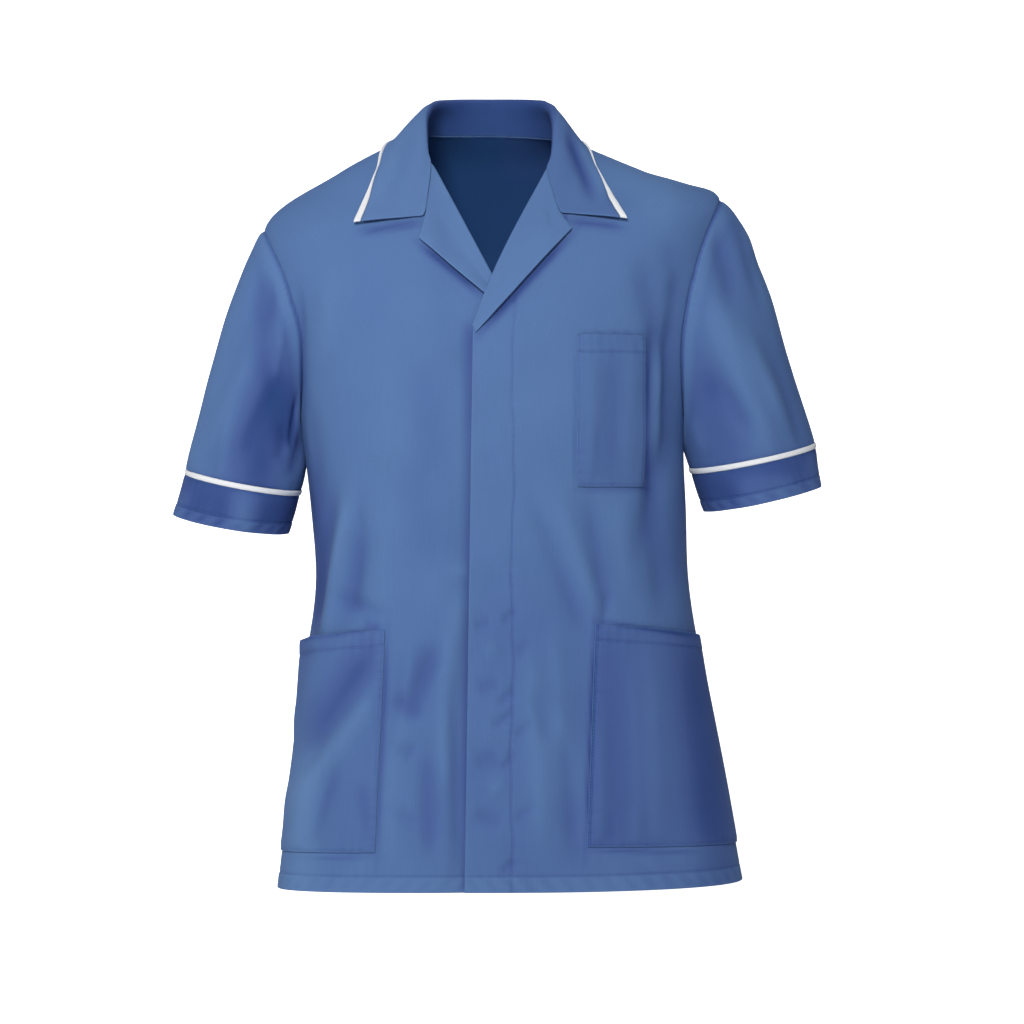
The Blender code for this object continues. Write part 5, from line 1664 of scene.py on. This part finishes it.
def collar_half(side, falls=None):
    """Half the collar, a row a station from the gorge to the middle of the back: key points up the inner
    face of the stand and over the roll, then points down the fall, and the foot's other face. Falls are
    shares of the way over the piping; without them the fall runs down to the piping."""
    neck = collar_half_neck(side)
    base, normals, _ = cloth(neck[:, 0], neck[:, 1])
    run = np.r_[0, np.cumsum(np.linalg.norm(np.diff(base, axis=0), axis=1))]
    share = run / run[-1]
    start = COLLAR_START[side]
    shares = np.r_[start, COLLAR_ROLLS[:, 0]]
    first = base[0] + normals[0] * COLLAR_START_HEIGHT
    crests = np.concatenate([[first], COLLAR_ROLLS[:, 1:] * (SIDES[side], 1.0, 1.0)])
    crest = curve_through(shares, crests, start + (1 - start) * share)
    out = unit(normals * (1, 1, 0))
    up = np.array([0.0, 0.0, 1.0])
    height = np.linalg.norm(crest - base, axis=1)[:, None]
    size = np.clip(height / ROLL_FULL_HEIGHT, ROLL_SMALLEST, 1.0)
    rise = unit(np.cross(np.gradient(base, axis=0), normals))
    rise = rise * np.sign(rise[-1, 2])
    foot = base - normals * STAND_WALL + rise * STAND_RISE
    clear = rise * COLLAR_CLEAR * (1 - smooth(share / 0.25))[:, None]
    crest = crest + clear
    places = (ROLL_INSIDE, ROLL_LIP, ROLL_SHOULDER)
    inside, lip, shoulder = (crest + (out * place[0] + up * place[1]) * size for place in places)
    stand = [foot, (foot + inside + clear) * 0.5, inside, lip, crest, shoulder]
    edge_net = collar_fall_net(side, neck, share, np.ones((len(share), 1)))
    edge = cloth(edge_net[..., 0], edge_net[..., 1])[0][:, 0]
    place, spread_out = PIPING_WIDE_PLACE
    strip = COLLAR_PIPING_WIDTH * (1 + PIPING_WIDENING * bell(share - place, spread_out))
    last = (1 - strip / np.linalg.norm(edge - base, axis=1))[:, None]
    if falls is None:
        falls = last * np.linspace(0.1, 1.0, COLLAR_FALL_COLUMNS)[None]
    else:
        falls = last + (1 - last) * falls[None]
    net = collar_fall_net(side, neck, share, falls)
    points, fall_normals, _ = cloth(net[..., 0], net[..., 1])
    lift = COLLAR_LIFT + COLLAR_SHOULDER_LIFT * smooth(share / 0.4)[:, None]
    free = ramp(falls, 0.35, 0.65) * (1 - smooth(share / 0.22))[:, None]
    lying = points + fall_normals * (lift + COLLAR_EDGE_LIFT * free)[..., None]
    landing = COLLAR_LANDING[side] - 0.2 * (1 - smooth(share / 0.35))
    rolling = 1 - smooth(falls / landing[:, None])
    off_cloth = (shoulder - (base + normals * COLLAR_LIFT))[:, None]
    fall = lying + off_cloth * rolling[..., None]
    return np.stack(stand, axis=1), fall, foot + normals * STAND_WALL


def join_halves(right, left):
    """One run of stations from the right gorge round the back to the left gorge."""
    return np.concatenate([right, left[-2::-1]])


def outward(grid):
    """Grid normals that point away from the wearer at the middle of the back's outer edge."""
    normals = grid_normals(grid)
    return normals if normals[len(grid) // 2, -1, 1] > 0 else -normals


def make_collar():
    """The collar in one piece, stand, roll and fall, with soft creases in its fall."""
    wall = trim_wall()
    halves = [collar_half(side) for side in SIDES]
    keys = join_halves(*[np.concatenate(half[:2], axis=1) for half in halves])
    surface = resample(keys, COLLAR_COLUMNS)
    normals = outward(surface)
    x, y, z = np.moveaxis(surface, -1, 0)
    across = np.linspace(0, 1, COLLAR_COLUMNS + 1)[None]
    fall = ramp(across, 0.35, 0.2)
    creases = lines_height(x, z, COLLAR_CREASES) * fall * smooth(-y / 25)
    u, v = arcs(surface)
    waves = 0.35 * np.sin(v * 0.055 + 0.6) * fall * smooth((v[-1:] - v) / 40) * smooth(v / 40)
    extra = seam_relief(u[:, -1:] - u, v, **NECK_SEAM)
    surface = surface + normals * (creases + waves + extra)[..., None]
    under = surface - normals * wall
    foot = join_halves(halves[0][2], halves[1][2])
    under[:, 0] = surface[:, 0] + unit(foot - surface[:, 0]) * wall
    part_collar(surface, under, COLLAR_ROLLED)
    # Painted shade inside the stand, and on the fall painted light on the right and painted shade on the
    # left, with the painted shade and light of its creases, waves and seam
    stand = 1 - ramp(across, 0.26, 0.14)
    left, right = COLLAR_LIGHT_SHADE["left"], COLLAR_LIGHT_SHADE["right"]
    side_light_shade = left + (right - left) * ramp(x, 30.0, -60.0)
    shading = creases * 1.5 + waves + extra + STAND_SHADE * stand + side_light_shade * (1 - stand)
    make_cloth("collar", surface, under, shading)


def part_collar(outer, under, rolled):
    """Moves both faces back from the gorge at both ends of the collar."""
    for face in (outer, under):
        part_at_gorge(face, 0, 1, rolled)
        part_at_gorge(face, -1, -2, rolled)


def make_collar_piping():
    """The piping along the collar's outer edge: a low dome across its width."""
    share = np.linspace(0.05, 1.0, 10)
    strip = join_halves(*[collar_half(side, share)[1] for side in SIDES])
    normals = outward(strip)
    _, v = arcs(strip)
    dome = piping_dome(COLLAR_PIPING_DOME, np.linspace(-1, 1, len(share))[None], v)
    outer = strip + normals * dome[..., None]
    inner = strip - normals * COLLAR_PIPING_SINK
    part_collar(outer, inner, 0)
    # Painted shade at the piping's edges and painted light on the top of its dome
    make_cloth("collar_piping", outer, inner, dome - 0.5)


def make_pocket(node, side, net, band, gape, sewn_outer):
    """A patch pocket: the cloth under it moved out, lower where it is sewn, standing off by its gape at
    the top, with its band, edge stitches and own creases. The net's rows go up and its columns from inner
    to outer edge."""
    wall = trim_wall()
    points, normals, folds = cloth(net[..., 0], net[..., 1], side)
    x, _, z = np.moveaxis(points, -1, 0)
    u, v = arcs(points)
    from_outer, from_top = u[:, -1:] - u, v[-1:] - v
    sewn = np.minimum(np.minimum(u, from_outer), v)
    across, up = u / u[:, -1:], v / v[-1:]
    bulge = smooth(across / 0.6) * ramp(across, 1.0, -0.2)
    stand_off = gape * bulge * (0.25 * up + 0.75 * ramp(up, 0.3, 0.7))
    own = lines_height(x, z, POCKET_CREASES[node]) * smooth(sewn / 14)
    edges = [(u, v), (v, u)]
    if sewn_outer:
        edges.append((from_outer, v + 31))
    extra = stitch_relief(from_top - band, u) + pucker(u + 11, from_top, 10.0, 0.25)
    for distance, along in edges:
        extra -= POCKET_STITCH_DEPTH * bell(distance - POCKET_STITCH, POCKET_STITCH_WIDTH)
        extra += pucker(along, distance, POCKET_REACH, POCKET_PUCKER)
    turned = 0.25 * ramp(from_top, band, -2.0)
    lift = POCKET_LIFT + wall + 0.5 * smooth(sewn / 6) + stand_off + own + extra + turned
    outer = points + normals * np.maximum(lift, wall + POCKET_LEAST_LIFT)[..., None]
    # Painted shade and light from the front's table, and painted shade over the whole pocket, fading towards
    # its outer edge
    shade = lines_height(x, z, FRONT_SHADES)
    shade += POCKET_SHADES[node] * (1 - POCKET_SHADE_FADE * ramp(across, 0.55, 0.45))
    shading = (own + 0.6 * folds) * FOLD_SHADING + extra * STITCH_SHADING + shade
    make_cloth(node, outer, outer - normals * wall, shading)
    rows = np.arange(1, len(net) - 1)
    columns = np.arange(2, net.shape[1] - 2)
    stitch_column = crossing(u[rows], np.full(len(rows), POCKET_STITCH))
    bottom = crossing(v.T[columns], np.full(len(columns), POCKET_STITCH))
    band_row = crossing(v.T[columns], v[-1, columns] - band)
    places = [(rows, stitch_column), (bottom, columns), (band_row, columns)]
    if sewn_outer:
        places.append((rows, crossing(u[rows], u[rows, -1] - POCKET_STITCH)))
    lines = [thread_line(outer, normals, row.astype(float), column.astype(float)) for row, column in places]
    make_stitching("stitching_" + node, lines)


def chest_pocket_net():
    """(angle, level) of the breast pocket's points: an upright rectangle in front view."""
    (x0, x1), (z0, z1) = CHEST_POCKET_X, CHEST_POCKET_Z
    width, height = x1 - x0, z1 - z0
    x = x0 + graded(width, CHEST_STEPS[0], (POCKET_STITCH, width - POCKET_STITCH), **POCKET_GRADE)
    z = z0 + graded(height, CHEST_STEPS[1], (POCKET_STITCH, height - CHEST_BAND, height), **POCKET_GRADE)
    grid_x, grid_z = np.meshgrid(x, z)
    return np.stack(place_in_front(grid_x, grid_z), axis=-1)


def hip_pocket_net(side):
    """(angle, level) of a hip pocket's points: straight rows from its inner edge to the side seam."""
    top_x, top_z, bottom_x, bottom_z, side_top_z, side_bottom_z, _ = HIP_POCKETS[side]
    heights = RINGS[:6, 2 if side == "right" else 3]
    side_levels = np.interp((side_bottom_z, side_top_z), heights, RINGS[:6, 0])
    height = top_z - bottom_z
    up = graded(height, POCKET_STEP, (POCKET_STITCH, height - HIP_BAND, height), **POCKET_GRADE) / height
    x, z = bottom_x + (top_x - bottom_x) * up, bottom_z + (top_z - bottom_z) * up
    inner = np.stack(place_in_front(x, z), axis=-1)
    side_angle = np.full(len(up), SIDES[side] * np.radians(POCKET_SIDE_DEGREES))
    outer = np.stack([side_angle, side_levels[0] + (side_levels[1] - side_levels[0]) * up], axis=-1)
    across = graded(POCKET_WIDTH, POCKET_STEP, (POCKET_STITCH,), **POCKET_GRADE) / POCKET_WIDTH
    across = across[None, :, None]
    return inner[:, None] * (1 - across) + outer[:, None] * across


class TUNIC_OT_body(bpy.types.Operator):
    """Makes the back and the two fronts with their hems, seams and placket"""

    bl_idname = "tunic.body"
    bl_label = "Body Panels"

    def execute(self, context):
        make_back()
        for side in SIDES:
            make_front(side)
        return {"FINISHED"}


class TUNIC_OT_lapels(bpy.types.Operator):
    """Makes the turned-back lapels"""

    bl_idname = "tunic.lapels"
    bl_label = "Lapels"

    def execute(self, context):
        for side in SIDES:
            make_lapel(side)
        return {"FINISHED"}


class TUNIC_OT_collar(bpy.types.Operator):
    """Makes the collar and its piping"""

    bl_idname = "tunic.collar"
    bl_label = "Collar"

    def execute(self, context):
        make_collar()
        make_collar_piping()
        return {"FINISHED"}


class TUNIC_OT_sleeves(bpy.types.Operator):
    """Makes the sleeves, their piping and their cuffs"""

    bl_idname = "tunic.sleeves"
    bl_label = "Sleeves and Cuffs"

    def execute(self, context):
        for side in SIDES:
            make_sleeve(side)
            make_cuff_piping(side)
            make_cuff(side)
        return {"FINISHED"}


class TUNIC_OT_pockets(bpy.types.Operator):
    """Makes the breast pocket and the hip pockets"""

    bl_idname = "tunic.pockets"
    bl_label = "Pockets"

    def execute(self, context):
        make_pocket("chest_pocket", "left", chest_pocket_net(), CHEST_BAND, CHEST_GAPE, True)
        for side in SIDES:
            gape = HIP_POCKETS[side][-1]
            make_pocket("hip_pocket_" + side, side, hip_pocket_net(side), HIP_BAND, gape, False)
        return {"FINISHED"}


def aim(thing, place, target):
    """Places a lamp or camera and turns it towards a point."""
    thing.location = place
    thing.rotation_euler = (Vector(target) - Vector(place)).to_track_quat("-Z", "Y").to_euler()


def area_light(name, place, size, power):
    """A square soft lamp turned to the tunic."""
    lamp = bpy.data.lights.new(name, "AREA")
    lamp.size = size
    lamp.energy = power
    thing = bpy.data.objects.new(name, lamp)
    bpy.context.scene.collection.objects.link(thing)
    aim(thing, place, LIGHT_TARGET)


def make_room(scene, brightness):
    """A white room that lights the cloth with a weak cool light and looks plain white to the camera."""
    world = bpy.data.worlds.new("studio_room")
    world.use_nodes = True
    wiring = Wiring(world.node_tree)
    background = wiring.nodes["Background"]
    seen = wiring.nodes.new("ShaderNodeLightPath").outputs["Is Camera Ray"]
    wiring.feed(wiring.mix(seen, SKY_TINT, WHITE), background.inputs["Color"])
    strength = wiring.plus(wiring.times(seen, 1.0 - brightness), brightness)
    wiring.feed(strength, background.inputs["Strength"])
    scene.world = world


def stage_material():
    """Matt white paper, see-through from behind, that the camera sees brighter than it is lit."""
    material, wiring, shader = new_material(
        "studio_paper", Base_Color=PAPER, Roughness=0.9, Specular_IOR_Level=0.1, Emission_Color=WHITE
    )
    seen = wiring.nodes.new("ShaderNodeLightPath").outputs["Is Camera Ray"]
    wiring.feed(seen, shader.inputs["Emission Strength"])
    clear = wiring.nodes.new("ShaderNodeBsdfTransparent")
    mix = wiring.nodes.new("ShaderNodeMixShader")
    behind = wiring.nodes.new("ShaderNodeNewGeometry").outputs["Backfacing"]
    for key, value in enumerate((behind, shader.outputs[0], clear.outputs[0])):
        wiring.feed(value, mix.inputs[key])
    wiring.feed(mix.outputs[0], wiring.nodes["Material Output"].inputs["Surface"])
    return material


def make_sweep(floor_z):
    """Paper sweep: a floor, a quarter round and an upright wall, carried straight across."""
    turn = np.radians(np.linspace(0, 90, 25))
    curve_y = SWEEP_BACK - SWEEP_RADIUS + SWEEP_RADIUS * np.sin(turn)
    curve_z = floor_z + SWEEP_RADIUS - SWEEP_RADIUS * np.cos(turn)
    y = np.r_[np.linspace(SWEEP_FRONT, curve_y[0], 12)[:-1], curve_y, np.full(8, SWEEP_BACK)]
    z = np.r_[np.full(11, floor_z), curve_z, np.linspace(curve_z[-1], SWEEP_TOP, 9)[1:]]
    x = np.linspace(-SWEEP_HALF_WIDTH, SWEEP_HALF_WIDTH, 9)
    grid = np.stack(np.broadcast_arrays(x[None, :], y[:, None], z[:, None]), axis=-1)
    link_mesh("studio_sweep", grid.reshape(-1, 3), grid_faces(len(y), len(x)), stage_material())


class TUNIC_OT_stage(bpy.types.Operator):
    """Makes the paper floor and wall, the soft lights and the camera"""

    bl_idname = "tunic.stage"
    bl_label = "Stage"

    def execute(self, context):
        scene, chosen = context.scene, context.scene.tunic_stage
        make_sweep((CAD_BOX[0][2] - chosen.floor_drop) / MM)
        area_light("key_light", KEY_PLACE, LAMP_SIZES["key"], chosen.key_power)
        area_light("side_light", SIDE_PLACE, LAMP_SIZES["side"], chosen.side_power)
        area_light("fill_light", FILL_PLACE, LAMP_SIZES["fill"], chosen.fill_power)
        make_room(scene, chosen.sky)
        camera = bpy.data.objects.new("camera", bpy.data.cameras.new("camera"))
        camera.data.sensor_width = SENSOR
        camera.data.lens = SENSOR * -CAMERA_PLACE[1] / FRAME_WIDTH
        scene.collection.objects.link(camera)
        aim(camera, CAMERA_PLACE, (CAMERA_PLACE[0], 0.0, CAMERA_PLACE[2]))
        scene.camera = camera
        scene.view_settings.view_transform = "Standard"
        scene.view_settings.look = "None"
        return {"FINISHED"}


OPERATORS = (
    TUNIC_OT_stage,
    TUNIC_OT_body,
    TUNIC_OT_lapels,
    TUNIC_OT_collar,
    TUNIC_OT_sleeves,
    TUNIC_OT_pockets,
)


class TUNIC_PT_panel(bpy.types.Panel):
    """Lists the tunic's pieces and its cloth and stage values"""

    bl_label = "Work Tunic"
    bl_idname = "TUNIC_PT_panel"
    bl_space_type = "VIEW_3D"
    bl_region_type = "UI"
    bl_category = "Tunic"

    def draw(self, context):
        for operator in OPERATORS:
            self.layout.operator(operator.bl_idname)
        for group in (context.scene.tunic_cloth, context.scene.tunic_stage):
            box = self.layout.box()
            for name in group.__annotations__:
                box.prop(group, name)


CLASSES = (TunicCloth, TunicStage, *OPERATORS, TUNIC_PT_panel)


def register():
    for item in CLASSES:
        bpy.utils.register_class(item)
    bpy.types.Scene.tunic_cloth = bpy.props.PointerProperty(type=TunicCloth)
    bpy.types.Scene.tunic_stage = bpy.props.PointerProperty(type=TunicStage)


def unregister():
    del bpy.types.Scene.tunic_stage
    del bpy.types.Scene.tunic_cloth
    for item in reversed(CLASSES):
        bpy.utils.unregister_class(item)


def main():
    register()
    bpy.ops.tunic.stage()
    bpy.ops.tunic.body()
    bpy.ops.tunic.lapels()
    bpy.ops.tunic.collar()
    bpy.ops.tunic.sleeves()
    bpy.ops.tunic.pockets()


if __name__ == "__main__":
    main()
